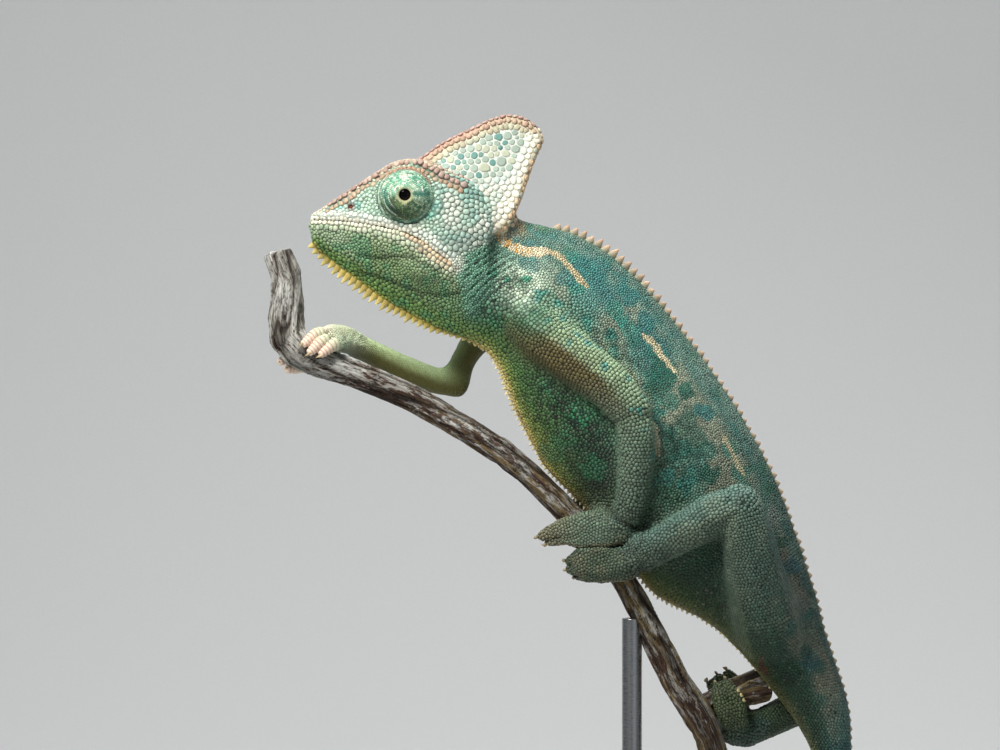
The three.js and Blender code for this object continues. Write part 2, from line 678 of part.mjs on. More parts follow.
[-1, 1].forEach((side, k) => {
  const name = side < 0 ? "left" : "right";
  const opening = turnedOnEyeAxis(
    [
      [EYE.depth, EYE.opening],
      [TURRET_REACH, EYE.opening + EYE.flare],
    ],
    side,
  );
  place(`eye_turret_${name}`, turrets[k].subtract(eyeballSolid(side, GAP)).subtract(opening), "head");
  place(`eyeball_${name}`, eyeballSolid(side), "eye");
});

const body = unite([bodySolid(), ...backSpikes, ...bellySpikes])
  .subtract(headRoom.add(unite(gularSpikes)))
  .subtract(perchRoom)
  .subtract(unite(bodyCutters));

/** The middle of the body at a rib, and the direction along the body there. */
function ribPlane(rib) {
  const [backX, backZ, bellyX, bellyZ] = rowAt(RIBS, rib / (RIBS.length - 1));
  return {
    x: (backX + bellyX) / 2,
    z: (backZ + bellyZ) / 2,
    along: { x: backZ - bellyZ, z: bellyX - backX },
  };
}
const LENGTHS = [
  // name, finish, the rib it ends at
  ["neck", "body", 3],
  ["chest", "body", 6.6],
  ["trunk", "body", 11],
  ["pelvis", "belly", 14.2],
  ["tail_base", "body", 17],
];
LENGTHS.forEach(([name, finish, end], k) => {
  const { x, z, along } = ribPlane(end);
  let length = body.intersect(sideOf(x, z, { x: -along.x, z: -along.z }));
  if (k > 0) {
    const start = ribPlane(LENGTHS[k - 1][2]);
    length = length.intersect(sideOf(start.x, start.z, start.along));
  }
  place(name, length, finish);
});

// ---------------------------------------------------------------- the free tail
const tailRoot = ribPlane(LENGTHS[LENGTHS.length - 1][2]);
const alongRoot = (distance, radius) => {
  const scale = distance / Math.hypot(tailRoot.along.x, tailRoot.along.z);
  return [tailRoot.x + tailRoot.along.x * scale, 0, tailRoot.z + tailRoot.along.z * scale, radius];
};
const coilPoint = (turn) => {
  const share = turn / COIL.turns;
  const reach = THREE.MathUtils.lerp(COIL.outer, COIL.inner, share);
  const angle = -2 * Math.PI * turn;
  return [
    COIL.x + reach * Math.cos(angle),
    0,
    COIL.z + reach * Math.sin(angle),
    THREE.MathUtils.lerp(COIL.root, COIL.tip, share ** 0.8),
  ];
};
const COIL_STATIONS = 22;
const TAIL = [
  alongRoot(-4, 4.65),
  alongRoot(0, 4.55),
  alongRoot(4, 4.45),
  [68.6, 0, 79.5, 4.2],
  [72, 0, 66, 4.0],
  ...Array.from({ length: COIL_STATIONS + 1 }, (_, k) => coilPoint((COIL.turns * k) / COIL_STATIONS)),
];
const TAIL_NODES = [
  // name, first and last station
  ["tail_upper", 1, 5],
  ["tail_coil_1", 5, 9],
  ["tail_coil_2", 9, 13],
  ["tail_coil_3", 13, 18],
  ["tail_tip", 18, TAIL.length - 1],
];
const TAIL_STEPS = 1.5; // rings between one station and the next
const STATION_GAP = 0.04; // clearance between lengths of tail, as a share of the step between stations
for (const [name, from, to] of TAIL_NODES) {
  const last = TAIL.length - 1;
  const share = (station) => station / last;
  const free = to === last;
  const form = sweep(TAIL, {
    sides: 7,
    steps: Math.round((to - from) * TAIL_STEPS),
    dome: free ? 1 : 0,
    from: share(from + STATION_GAP),
    to: share(free ? to : to - STATION_GAP),
  });
  place(name, form, "body");
}

// ---------------------------------------------------------------- perch and stand
place("perch", perch, "wood");

const plate = new THREE.Shape();
const [right, back] = [BASE.length / 2 - BASE.bevel, BASE.width / 2 - BASE.bevel];
const corner = BASE.corner - BASE.bevel;
plate.moveTo(right, -back + corner);
plate.absarc(right - corner, back - corner, corner, 0, Math.PI / 2);
plate.absarc(-right + corner, back - corner, corner, Math.PI / 2, Math.PI);
plate.absarc(-right + corner, -back + corner, corner, Math.PI, 1.5 * Math.PI);
plate.absarc(right - corner, -back + corner, corner, 1.5 * Math.PI, 2 * Math.PI);
const plateForm = new THREE.ExtrudeGeometry(plate, {
  depth: BASE.thickness - 2 * BASE.bevel,
  bevelThickness: BASE.bevel,
  bevelSize: BASE.bevel,
  bevelSegments: 1,
  curveSegments: 4,
});
plateForm.translate(0, 0, BASE.bevel);
place("stand_base", solidOf(plateForm), "stand");

for (const [name, { x, top }] of Object.entries(RODS)) {
  const bottom = BASE.thickness + GAP;
  const rod = new THREE.CylinderGeometry(ROD_RADIUS, ROD_RADIUS, top - bottom, 16);
  rod.rotateX(Math.PI / 2);
  rod.translate(x, 0, (top + bottom) / 2);
  place(`stand_rod_${name}`, solidOf(rod).subtract(perchRoom), "steel");
}

export default model;
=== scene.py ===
"""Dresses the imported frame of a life-size veiled chameleon that climbs a cut vine on a display stand.

The frame is that of the solids: +Z up, head towards -X, the animal's left side towards -Y, its middle
plane Y = 0. Sizes are given in millimetres and turned into metres where a mesh is made.
"""

import logging
import math
from collections.abc import Callable
from dataclasses import dataclass, field
from enum import Enum

import bmesh
import bpy
import numpy as np
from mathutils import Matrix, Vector
from mathutils.bvhtree import BVHTree
from mathutils.kdtree import KDTree


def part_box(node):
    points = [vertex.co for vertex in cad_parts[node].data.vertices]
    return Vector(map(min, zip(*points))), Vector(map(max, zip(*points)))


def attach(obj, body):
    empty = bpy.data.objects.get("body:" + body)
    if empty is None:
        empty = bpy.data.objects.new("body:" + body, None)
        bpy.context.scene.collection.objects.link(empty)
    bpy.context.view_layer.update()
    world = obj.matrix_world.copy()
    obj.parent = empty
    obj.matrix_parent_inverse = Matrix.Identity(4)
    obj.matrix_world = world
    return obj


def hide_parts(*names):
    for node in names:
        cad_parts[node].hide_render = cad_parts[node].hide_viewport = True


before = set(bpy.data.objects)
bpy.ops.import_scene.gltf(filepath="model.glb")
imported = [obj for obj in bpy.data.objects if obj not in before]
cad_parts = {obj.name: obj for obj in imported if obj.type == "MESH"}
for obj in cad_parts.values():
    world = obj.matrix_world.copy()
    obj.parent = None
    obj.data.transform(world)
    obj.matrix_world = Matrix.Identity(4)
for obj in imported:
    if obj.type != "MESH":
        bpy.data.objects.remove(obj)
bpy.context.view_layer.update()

MM = 0.001
TURN = 2 * math.pi
BODY = "root"
SKIN_SLOT = "skin"
LOG = logging.getLogger("chameleon")
Pair = tuple[float, float]
Line = tuple[Pair, ...]
Toe = tuple[tuple[float, float, float, float], ...]
Array = np.ndarray
Piece = bpy.types.Object
Socket = bpy.types.NodeSocket
Course = tuple[tuple[str, ...], Array, Array]


class Part(Enum):
    """What a place on the skin belongs to, which settles its scales and its markings."""

    HEAD = 0
    CASQUE = 1
    JAW = 2
    EYE = 3
    BODY = 4
    TAIL = 5
    ARM = 6
    LEG = 7
    HAND = 8
    FOOT = 9


# Each node of flesh and the part of the animal that it is.
FLESH: dict[str, Part] = {
    "head": Part.HEAD,
    "casque": Part.CASQUE,
    "lower_jaw": Part.JAW,
    "eye_turret_left": Part.EYE,
    "eye_turret_right": Part.EYE,
    "neck": Part.BODY,
    "chest": Part.BODY,
    "trunk": Part.BODY,
    "pelvis": Part.BODY,
    "tail_base": Part.TAIL,
    "tail_upper": Part.TAIL,
    "tail_coil_1": Part.TAIL,
    "tail_coil_2": Part.TAIL,
    "tail_coil_3": Part.TAIL,
    "tail_tip": Part.TAIL,
    "upper_arm_left": Part.ARM,
    "upper_arm_right": Part.ARM,
    "forearm_left": Part.ARM,
    "forearm_right": Part.ARM,
    "thigh_left": Part.LEG,
    "thigh_right": Part.LEG,
    "shank_left": Part.LEG,
    "shank_right": Part.LEG,
    "hand_outer_left": Part.HAND,
    "hand_outer_right": Part.HAND,
    "hand_inner_left": Part.HAND,
    "hand_inner_right": Part.HAND,
    "foot_outer_left": Part.FOOT,
    "foot_outer_right": Part.FOOT,
    "foot_inner_left": Part.FOOT,
    "foot_inner_right": Part.FOOT,
}
NODE_NAMES = list(FLESH)

# Guide lines in the side view, x and z.
BACK_LINE: Line = (
    (-17.5, 233.6), (-10, 232.0), (-3, 230.4), (4.8, 226.4), (12.3, 220.7), (20.9, 211.4), (29.8, 200.2),
    (37.7, 188.9), (44.6, 177.3), (50.2, 165.9), (54.8, 153), (59, 140), (62.2, 127.5), (66.2, 116.5),
    (68, 107.5), (68.2, 99), (69, 90.4), (71.2, 81.6), (76.3, 66.5),
)
BELLY_LINE: Line = (
    (-28, 201.8), (-24, 200.0), (-20.6, 195.0), (-17.8, 187.0), (-14.3, 180.1), (-9.5, 171.1), (-3.8, 164.8),
    (4, 158), (11, 148.4), (18.2, 138.2), (26.5, 134.6), (35, 129), (41.2, 122.6), (47, 115.4),
    (52.6, 108.4), (57.4, 100), (60, 91.6), (62.6, 83.4), (67.7, 66),
)
CHIN_LINE: Line = (
    (-66.2, 226.4), (-64.8, 224.2), (-62, 221.7), (-57, 218.1), (-52, 214.2), (-47, 210.8), (-42, 208.1),
    (-37, 205.5), (-32.5, 203.2), (-29, 201.9), (-24.5, 200.9),
)
MOUTH_LINE: Line = (
    (-69, 232.3), (-67, 232.3), (-57.5, 231.8), (-52.5, 231), (-47.5, 230), (-43.8, 229), (-39.5, 227),
    (-35.8, 224), (-32, 221.6),
)
BROW_LINE: Line = (
    (-64, 235.6), (-60, 237.5), (-55, 241), (-50, 243.5), (-45, 246), (-40, 246), (-37.5, 244.8),
    (-35, 243.5), (-30, 241.3), (-28.7, 240.8),
)
CASQUE_TOP: Line = (
    (-40, 247.9), (-35, 251.8), (-30, 254.4), (-25, 256.7), (-20.8, 258.6), (-18, 259.1), (-15.6, 258.9),
    (-13.8, 258.3), (-12, 257.3), (-10.2, 255.4),
)
CASQUE_REAR: Line = (
    (-10.2, 255.4), (-9.4, 252.8), (-12, 246.4), (-13.8, 241), (-15.6, 236), (-18, 231.3), (-20.8, 228.3),
)

# The middle of the free tail's coil, x and z.
COIL_CENTRE = (56.0, 52.0)

# The middle lines of the limbs, shoulder to wrist and hip to ankle.
LIMB_LINES: dict[str, tuple[tuple[float, float, float], ...]] = {
    "arm_left": (
        (-14, -6, 207.6), (-8.5, -10.4, 203), (-0.5, -12.9, 196.9), (7.1, -14.4, 190.8), (12.2, -15, 184.8),
        (13.6, -14.4, 178.5), (13.3, -12.8, 170.5), (12.5, -11, 163.5), (11, -9.4, 158.6),
    ),
    "arm_right": (
        (-13, 5, 208), (-19.4, 11, 206.2), (-26.4, 14.6, 202.4), (-30, 16, 196.4), (-30.8, 16.2, 190.7),
        (-37.5, 15, 192.5), (-45.5, 12, 195.8), (-52.5, 8.6, 199.4), (-57.5, 5.4, 201.8),
    ),
    "leg_left": (
        (48, -4, 127), (45.6, -9.5, 135), (42.4, -13.6, 145.5), (40.4, -16, 155), (38.4, -16.6, 161.1),
        (32.3, -16, 159.2), (26.2, -14.6, 155.9), (19.5, -12.2, 152.1), (14.2, -10, 148.9),
    ),
    "leg_right": (
        (49, 3, 127.5), (54, 9.5, 122.5), (59, 14.4, 116), (61, 16.2, 110.8), (55, 14, 108.8),
        (47.5, 10, 105.8), (41.6, 6.4, 103.6), (38.6, 4.6, 104.4),
    ),
}

JAW_FOLDS: tuple[tuple[Line, float, float], ...] = (
    (((-55, 223.5), (-50.5, 222.6), (-46, 222.9), (-41.5, 222.7), (-37.6, 220.6), (-34.6, 219.4)), 0.45, 0.5),
    (((-55, 219.2), (-49.5, 218.0), (-44.5, 215.8), (-39.5, 214.0), (-34.5, 213.2), (-30, 213.8)), 0.6, 0.45),
)
# The middle lines of the toes that show their shape, from the palm to the tip, each with its radius.
TOES: dict[str, tuple[Toe, ...]] = {
    "hand_outer_left": (
        ((7, -7.4, 157.2, 3.3), (1, -7.4, 157.3, 2.9), (-5, -6.7, 155.8, 2.4), (-9.6, -5.0, 153.9, 1.5)),
        ((7, -7.2, 154.5, 2.6), (1, -7.2, 154.1, 2.4), (-4, -6.4, 153.3, 1.9), (-7.8, -5.1, 152.1, 1.2)),
    ),
    "hand_outer_right": (
        ((-62, 3.4, 203.2, 2.3), (-67.4, 6.4, 201.6, 2.1), (-71.8, 5.4, 199.2, 1.9), (-74, 2.8, 197.8, 1.3)),
        ((-60.5, 4, 201.6, 2.3), (-65, 7, 198.9, 2.1), (-69.6, 6, 196.3, 1.9), (-72.2, 2.9, 195.8, 1.3)),
    ),
    "hand_inner_right": (
        ((-62, -1.2, 204.2, 2.1), (-65.4, -3.8, 203.9, 1.9), (-68.1, -5, 201.9, 1.3)),
        ((-61.2, -1.6, 203, 2.1), (-64, -4.6, 202.2, 1.9), (-66.6, -5.6, 199.9, 1.3)),
        ((-59.6, -1.4, 202, 2.1), (-61.6, -4.4, 201.2, 1.9), (-63.8, -5.4, 199.4, 1.3)),
    ),
    "foot_outer_left": (
        ((9, -7.4, 147.8, 2.3), (4, -7.6, 148.3, 2.2), (-0.5, -6.9, 148.2, 2.0), (-2.8, -4.4, 147.6, 1.4)),
        ((9, -7.6, 146.2, 2.5), (4, -7.6, 146.1, 2.4), (-0.4, -6.8, 145.9, 2.1), (-2.6, -4.2, 145.4, 1.4)),
        ((9, -7.4, 144.6, 2.3), (5, -7.2, 144.2, 2.1), (1.4, -6.4, 144, 1.9), (-0.6, -4, 143.7, 1.3)),
    ),
    "foot_outer_right": (
        ((41, 10, 107, 2.4), (41.6, 14.6, 111, 2.2), (40.4, 15, 115.2, 2.1), (38, 13, 118, 1.4)),
        ((39, 10, 106.6, 2.4), (38.6, 13.8, 110.2, 2.2), (37.6, 14, 114.2, 2.1), (35.6, 12, 117, 1.4)),
        ((37, 9, 106.2, 2.2), (35.8, 12.6, 109.4, 2.1), (34.8, 12.8, 113, 2.0), (33.2, 10.6, 115.6, 1.3)),
    ),
    "foot_inner_right": (
        ((39.6, 2.4, 106.4, 3.0), (39.2, 0.8, 110.4, 2.9), (37.8, 1.2, 114, 2.5), (37, 3.4, 116.2, 1.7)),
        ((36.8, 1.8, 106.4, 2.9), (35.8, -0.2, 110.2, 2.8), (34.8, 0.2, 113.4, 2.4), (34.4, 2.6, 115.4, 1.6)),
    ),
}

# The creases round the eye turret: each one's radius and breadth, the direction of its middle from the
# pupil, and how far it runs to either side of that.
TURRET_CREASES = (
    (4.25, 0.12, 2.9, 1.3), (5.65, 0.14, 2.6, 2.3), (7.0, 0.2, 0.0, 9.0), (7.9, 0.26, 3.6, 1.6),
    (6.5, 0.16, 1.5, 1.2),
)

# The toes ringed by broad scales: where on the toe they start, and how far their tips stand out.
BANDED_TOES: dict[str, tuple[float, tuple[float, float, float]]] = {
    "hand_inner_right": (0.4, (0.0, -0.1, 0.0)),
    "hand_outer_right": (0.6, (-0.6, 0.0, -0.5)),
}


@dataclass(frozen=True)
class Eye:
    """The eye and its turret of fused lids."""

    x: float = -43.3
    z: float = 237.9
    ball: float = 5.4
    depth: float = 9.7
    turret: float = 8.6  # radius within which the turret is shaped
    pupil: float = 1.36


EYE = Eye()


# ------------------------------------------------------------------ small tools
def linear(code: str) -> Array:
    """Turns a colour into linear light.

    Args:
        code: an sRGB colour as #rrggbb.

    Returns:
        Three linear values.
    """
    srgb = np.array([int(code[i : i + 2], 16) for i in (1, 3, 5)]) / 255
    return np.where(srgb <= 0.04045, srgb / 12.92, ((srgb + 0.055) / 1.055) ** 2.4)


def ease(low: float, high: float, value: Array) -> Array:
    """A smooth step from 0 at low to 1 at high."""
    share = np.clip((value - low) / (high - low), 0, 1)
    return share * share * (3 - 2 * share)


def mix(below: Array | str, above: Array | str, share: Array) -> Array:
    """Blends two colours.

    Args:
        below: rows of linear colour, or one colour as #rrggbb.
        above: the same.
        share: how much of the upper colour each row takes.

    Returns:
        Rows of linear colour.
    """
    below, above = (linear(colour) if isinstance(colour, str) else colour for colour in (below, above))
    return below + (above - below) * np.asarray(share)[:, None]


def bell(*offsets: Array) -> Array:
    """A smooth hump that is 1 where every offset is 0, and falls off over an offset of 1."""
    return np.exp(-sum(offset**2 for offset in offsets))


def unit(vectors: Array) -> Array:
    """Each row at length 1."""
    return vectors / np.maximum(np.linalg.norm(vectors, axis=1, keepdims=True), 1e-12)


def to_line(points: Array, line: Line) -> tuple[Array, Array]:
    """Measures points against a guide line in the side view.

    Args:
        points: rows of x, y, z.
        line: the guide line.

    Returns:
        The distance to the line, and how far along it the nearest place is.
    """
    flat = points[:, [0, 2]]
    corners = np.array(line, float)
    best = np.full(len(flat), np.inf)
    along = np.zeros(len(flat))
    travelled = 0.0
    for start, end in zip(corners[:-1], corners[1:]):
        step = end - start
        length = np.linalg.norm(step)
        share = np.clip((flat - start) @ step / length**2, 0, 1)
        gap = np.linalg.norm(flat - start - share[:, None] * step, axis=1)
        nearer = gap < best
        best = np.where(nearer, gap, best)
        along = np.where(nearer, travelled + share * length, along)
        travelled += length
    return best, along


def way_across(points: Array, first: Line, second: Line) -> Array:
    """How far each point is on its way from one guide line to another, from 0 to 1."""
    near, far = to_line(points, first)[0], to_line(points, second)[0]
    return near / np.maximum(near + far, 1e-6)


def rise_of(points: Array) -> Array:
    """How high each point lies on the body, from 0 at the belly line to 1 at the back."""
    return way_across(points, BELLY_LINE, BACK_LINE)


def above_jaw(points: Array) -> Array:
    """The share of each point that lies above the line from the mouth's corner back over the jaw joint."""
    return ease(221.5, 224.5, points[:, 2] - 0.45 * (points[:, 0] + 31))


def mint_patch(points: Array) -> Array:
    """The pale mint patch on the shoulder, from 0 to 1."""
    return bell((points[:, 0] + 14) / 5.5, (points[:, 2] - 216.5) / 5)


def on_far_arm(points: Array) -> Array:
    """Which points are as far forward and to the right as the arm that is stretched forward, as 0 or 1."""
    return (points[:, 1] > 0) * (points[:, 0] < -22)


def share_of(shares: Array, *parts: Part) -> Array:
    """How much of each place belongs to any of the parts given."""
    return shares[:, [part.value for part in parts]].sum(1)


def to_toe(points: Array, toe: Toe) -> tuple[Array, Array]:
    """Measures points against a toe.

    Args:
        points: rows of x, y, z.
        toe: the corners of the toe's middle line, each with the radius there.

    Returns:
        How far each point is from the middle line over the radius there, and how far along, from 0 to 1.
    """
    corners = np.array(toe, float)
    gap, along = np.full(len(points), 9.0), np.zeros(len(points))
    for k, (a, b) in enumerate(zip(corners[:-1], corners[1:])):
        step = b[:3] - a[:3]
        share = np.clip((points - a[:3]) @ step / (step @ step), 0, 1)
        here = np.linalg.norm(points - a[:3] - share[:, None] * step, axis=1) / (a[3] + share * (b[3] - a[3]))
        along = np.where(here < gap, (k + share) / (len(corners) - 1), along)
        gap = np.minimum(gap, here)
    return gap, along


def along_line(line: tuple[tuple[float, ...], ...], pitch: float, inset: float = 0.0) -> Array:
    """Evenly spaced places on a smoothed guide line.

    Args:
        line: the guide line, in two or three dimensions.
        pitch: the spacing.
        inset: how far from its ends the places start and stop.

    Returns:
        Rows of as many values as the line's corners have.
    """
    corners = np.array(line, float)
    rows = []
    for k in range(len(corners) - 1):
        a, b = corners[max(k - 1, 0)], corners[k]
        c, d = corners[k + 1], corners[min(k + 2, len(corners) - 1)]
        u = np.linspace(0, 1, 24, endpoint=False)[:, None]
        rows.append(b + 0.5 * u * (c - a + u * (2 * a - 5 * b + 4 * c - d + u * (3 * (b - c) + d - a))))
    dense = np.vstack([*rows, corners[-1:]])
    arc = np.concatenate([[0], np.cumsum(np.linalg.norm(np.diff(dense, axis=0), axis=1))])
    count = max(int((arc[-1] - 2 * inset) / pitch), 1)
    wanted = np.linspace(inset, arc[-1] - inset, count + 1)
    return np.stack([np.interp(wanted, arc, column) for column in dense.T], axis=1)


def lattice(cells: Array, seed: int) -> Array:
    """A repeatable number from 0 to 1 for each whole-numbered cell.

    Args:
        cells: whole numbers along x, y and z.
        seed: picks one of many patterns.

    Returns:
        A number for each cell.
    """
    x, y, z = (cells[..., k] for k in range(3))
    mixed = (x * 73856093) ^ (y * 19349663) ^ (z * 83492791) ^ (seed * 2654435)
    mixed = (mixed ^ (mixed >> 13)) * 1274126177
    mixed = (mixed ^ (mixed >> 16)) & 0x7FFFFFFF
    return mixed / 0x7FFFFFFF


def cloud(points: Array, size: float, seed: int) -> Array:
    """Soft noise from 0 to 1 with patches of the size given, in millimetres.

    Args:
        points: rows of x, y, z in millimetres.
        size: how wide the patches are.
        seed: picks one of many patterns.

    Returns:
        A number for each point.
    """
    place = points / size
    base = np.floor(place).astype(np.int64)
    part = place - base
    part = part * part * (3 - 2 * part)
    total = np.zeros(len(points))
    for corner in np.ndindex(2, 2, 2):
        weight = np.prod(np.where(np.array(corner) == 1, part, 1 - part), axis=1)
        total += weight * lattice(base + np.array(corner), seed)
    return total


def pebbles(points: Array, size: float, seed: int) -> tuple[Array, Array, Array]:
    """A mosaic of cells: the nearest and the second distance over the size, and each cell's own number.

    Args:
        points: rows of x, y, z in millimetres.
        size: how wide the cells are.
        seed: picks one of many patterns.

    Returns:
        Three numbers for each point.
    """
    place = points / size
    base = np.floor(place).astype(np.int64)
    first = np.full(len(points), 9.0)
    second = np.full(len(points), 9.0)
    number = np.zeros(len(points))
    for step in np.ndindex(3, 3, 3):
        cell = base + np.array(step) - 1
        seat = cell + np.stack([lattice(cell, seed + k) for k in range(3)], axis=1)
        gap = np.linalg.norm(place - seat, axis=1)
        nearer = gap < first
        second = np.where(nearer, first, np.minimum(second, gap))
        number = np.where(nearer, lattice(cell, seed + 7), number)
        first = np.where(nearer, gap, first)
    return first, second, number


def cracks(points: Array) -> Array:
    """The cracks between cobbles of scales, which the colours darken as painted shade: how deep each place lies
    in one, from 0 to 1.

    Args:
        points: rows of x, y, z in millimetres.

    Returns:
        A depth for each point.
    """
    x, _, z = points.T
    turned = np.stack([0.8 * x + 0.6 * z, 0.8 * points[:, 1], 0.5 * (0.8 * z - 0.6 * x)], axis=1)
    turned = turned + 0.9 * (cloud(points, 2.5, 70) - 0.5)[:, None]
    first, second, _ = pebbles(turned, 2.0, 71)
    line = 1 - ease(0.04, 0.26, second - first)
    armpit = bell((x - 1) / 13, (z - 190) / 15)
    throat = bell((x + 21) / 9, (z - 214) / 9)
    behind = bell((x - 22) / 12, (z - 172) / 15)
    groin = bell((x - 34) / 6, (z - 137) / 8)
    depth = np.maximum.reduce([1.2 * armpit, 0.7 * throat, 0.5 * behind, 0.6 * groin])
    return line * np.clip(0.12 + depth, 0, 1) * ease(0.15, 0.4, cloud(points, 5, 72) + 0.4 * depth)


def turret_creases(points: Array) -> tuple[Array, Array]:
    """The thin creases round the turret, and the raised folds beside them, each from 0 to 1.

    Args:
        points: rows of x, y, z in millimetres.

    Returns:
        The creases and the folds.
    """
    across, up = points[:, 0] - EYE.x, points[:, 2] - EYE.z
    ring = np.hypot(across - 0.12 * np.hypot(across, up), 1.04 * up) + 0.5 * (cloud(points, 2.2, 77) - 0.5)
    turn = np.arctan2(up, across)
    groove, fold = np.zeros(len(ring)), np.zeros(len(ring))
    for radius, wide, middle, half in TURRET_CREASES:
        off = np.abs(np.angle(np.exp(1j * (turn - middle))))
        there = 1 - ease(half - 0.5, half, off)
        groove = np.maximum(groove, there * bell((ring - radius) / wide))
        fold = np.maximum(fold, there * bell((ring - radius - 2.4 * wide) / (1.3 * wide)))
    return groove, fold


def under_bands(points: Array) -> Array:
    """Where the broad scales of the far hand's toes cover the skin, from 0 to 1.

    Args:
        points: rows of x, y, z in millimetres.

    Returns:
        A share for each point.
    """
    share = np.zeros(len(points))
    for name, (start, _) in BANDED_TOES.items():
        for toe in TOES[name]:
            gap, along = to_toe(points, toe)
            share = np.maximum(share, (1 - ease(1.05, 1.2, gap)) * ease(start + 0.02, start + 0.14, along))
    return share


def paw_folds(points: Array) -> Array:
    """The deep folds of the near wrist and ankle, from 0 to 1, with finer pleats beside them.

    Args:
        points: rows of x, y, z in millimetres.

    Returns:
        A depth for each point.
    """
    wrist, _ = to_line(points, ((5.6, 164.6), (6.8, 161.0), (9.0, 157.8), (13.4, 155.9)))
    ankle, _ = to_line(points, ((11.4, 151.6), (14.0, 148.6), (15.4, 145.2)))
    deep = bell(wrist / 0.8) + 0.6 * bell(ankle / 0.8)
    near = np.minimum(wrist, ankle)
    pleats = 0.3 * (0.5 + 0.5 * np.cos(TURN * near / 1.15)) ** 2 * (1 - ease(2.5, 5.0, near))
    return np.maximum(deep, pleats) * (points[:, 1] < 0) * (points[:, 2] > 143) * (points[:, 2] < 168)


def neck_creases(points: Array) -> Array:
    """The fine wrinkles behind the jaw: how deep each place lies in one, from 0 to 1.

    Args:
        points: rows of x, y, z in millimetres.

    Returns:
        A depth for each point.
    """
    x, _, z = points.T
    wander = 1.6 * cloud(points, 7, 3) + 0.2 * cloud(points, 1.2, 4)
    line = 1 - np.abs(np.sin(math.pi * (0.8 * z - 0.6 * x + wander) / 1.5))
    there = bell((x + 22.5) / 6.5, (z - 219.5) / 6.5) * ease(-34, -30, x + 0.2 * (z - 222))
    low = bell((x + 20) / 10, (z - 211) / 6)
    return np.clip(1.6 * there + 0.5 * low, 0, 1) * ease(0.45, 0.85, line)


def near_tree(places: Array) -> KDTree:
    """A search tree over places, balanced and ready to ask.

    Args:
        places: rows of x, y, z in millimetres.

    Returns:
        The tree, which answers with the places' numbers.
    """
    tree = KDTree(len(places))
    for number, place in enumerate(places.tolist()):
        tree.insert(place, number)
    tree.balance()
    return tree


def between_rings(sides: int, rings: int) -> Array:
    """The four-cornered faces between stacked rings of vertices.

    Args:
        sides: how many vertices a ring has.
        rings: how many rings there are.

    Returns:
        Rows of four vertex numbers.
    """
    ring = np.arange(sides)
    after = (ring + 1) % sides
    band = np.stack([ring, after, after + sides, ring + sides], 1)
    return np.concatenate([band + k * sides for k in range(rings - 1)])


def fan_of(sides: int, first: int, tip: int) -> Array:
    """The three-cornered faces from a ring, which begins at the vertex first, to a tip."""
    ring = np.arange(sides)
    return np.stack([ring + first, (ring + 1) % sides + first, np.full(sides, tip)], 1)


def barrel(sides: int, rings: int) -> list[Array]:
    """The faces of stacked rings that are closed below to the next vertex, and above to the one after it.

    Args:
        sides: how many vertices a ring has.
        rings: how many rings there are.

    Returns:
        The faces with four corners, and those with three.
    """
    base = rings * sides
    caps = [fan_of(sides, 0, base)[:, [1, 0, 2]], fan_of(sides, base - sides, base + 1)]
    return [between_rings(sides, rings), np.concatenate(caps)]


def repeated(faces: list[Array], count: int, verts: int) -> list[Array]:
    """The same faces for each of many copies of a shape that has so many vertices."""
    shift = (np.arange(count) * verts)[:, None, None]
    return [(each[None] + shift).reshape(-1, each.shape[1]) for each in faces]


def make_object(name: str, points: Array, faces: list[Array], smooth: bool = True) -> Piece:
    """Makes an object from arrays.

    Args:
        name: the object's name.
        points: rows of x, y, z in millimetres.
        faces: arrays of vertex numbers, one for each count of corners.
        smooth: whether the faces are shaded smooth.

    Returns:
        The object, linked to the scene.
    """
    mesh = bpy.data.meshes.new(name)
    loops = np.concatenate([f.ravel() for f in faces]).astype(np.int32)
    sizes = np.concatenate([np.full(len(f), f.shape[1]) for f in faces])
    mesh.vertices.add(len(points))
    mesh.vertices.foreach_set("co", (points * MM).astype(np.float32).ravel())
    mesh.loops.add(len(loops))
    mesh.loops.foreach_set("vertex_index", loops)
    mesh.polygons.add(len(sizes))
    mesh.polygons.foreach_set("loop_start", np.concatenate([[0], np.cumsum(sizes)[:-1]]).astype(np.int32))
    mesh.update(calc_edges=True)
    mesh.validate()
    if smooth:
        mesh.shade_smooth()
    made = bpy.data.objects.new(name, mesh)
    bpy.context.scene.collection.objects.link(made)
    return made


def give_colour(mesh: bpy.types.Mesh, name: str, colours: Array) -> None:
    """Stores a colour for each vertex as an attribute that the materials read.

    Args:
        mesh: the mesh.
        name: the attribute's name.
        colours: rows of linear colour.
    """
    made = mesh.color_attributes.new(name, "FLOAT_COLOR", "POINT")
    rgba = np.ones((len(colours), 4), np.float32)
    rgba[:, :3] = colours
    made.data.foreach_set("color", rgba.ravel())


def give_value(mesh: bpy.types.Mesh, name: str, values: Array) -> None:
    """Stores a number for each vertex as an attribute that the materials read."""
    mesh.attributes.new(name, "FLOAT", "POINT").data.foreach_set("value", values.astype(np.float32))


def give_map(piece: Piece, places: Array) -> None:
    """Stores a place on the unwrap for each vertex as the map that colours are baked through.

    Args:
        piece: the piece.
        places: a row of u and v for each vertex.
    """
    loops = np.zeros(len(piece.data.loops), np.int32)
    piece.data.loops.foreach_get("vertex_index", loops)
    layer = piece.data.uv_layers.new(name="OFBake")
    layer.data.foreach_set("uv", places[loops].astype(np.float32).ravel())


def solid_copy(name: str) -> Piece:
    """A loose copy of a solid, with a mesh of its own.

    Args:
        name: the solid's name.

    Returns:
        The copy, linked to the scene.
    """
    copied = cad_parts[name].copy()
    copied.data = copied.data.copy()
    copied.parent = None
    for key in list(copied.keys()):
        del copied[key]
    bpy.context.scene.collection.objects.link(copied)
    return copied


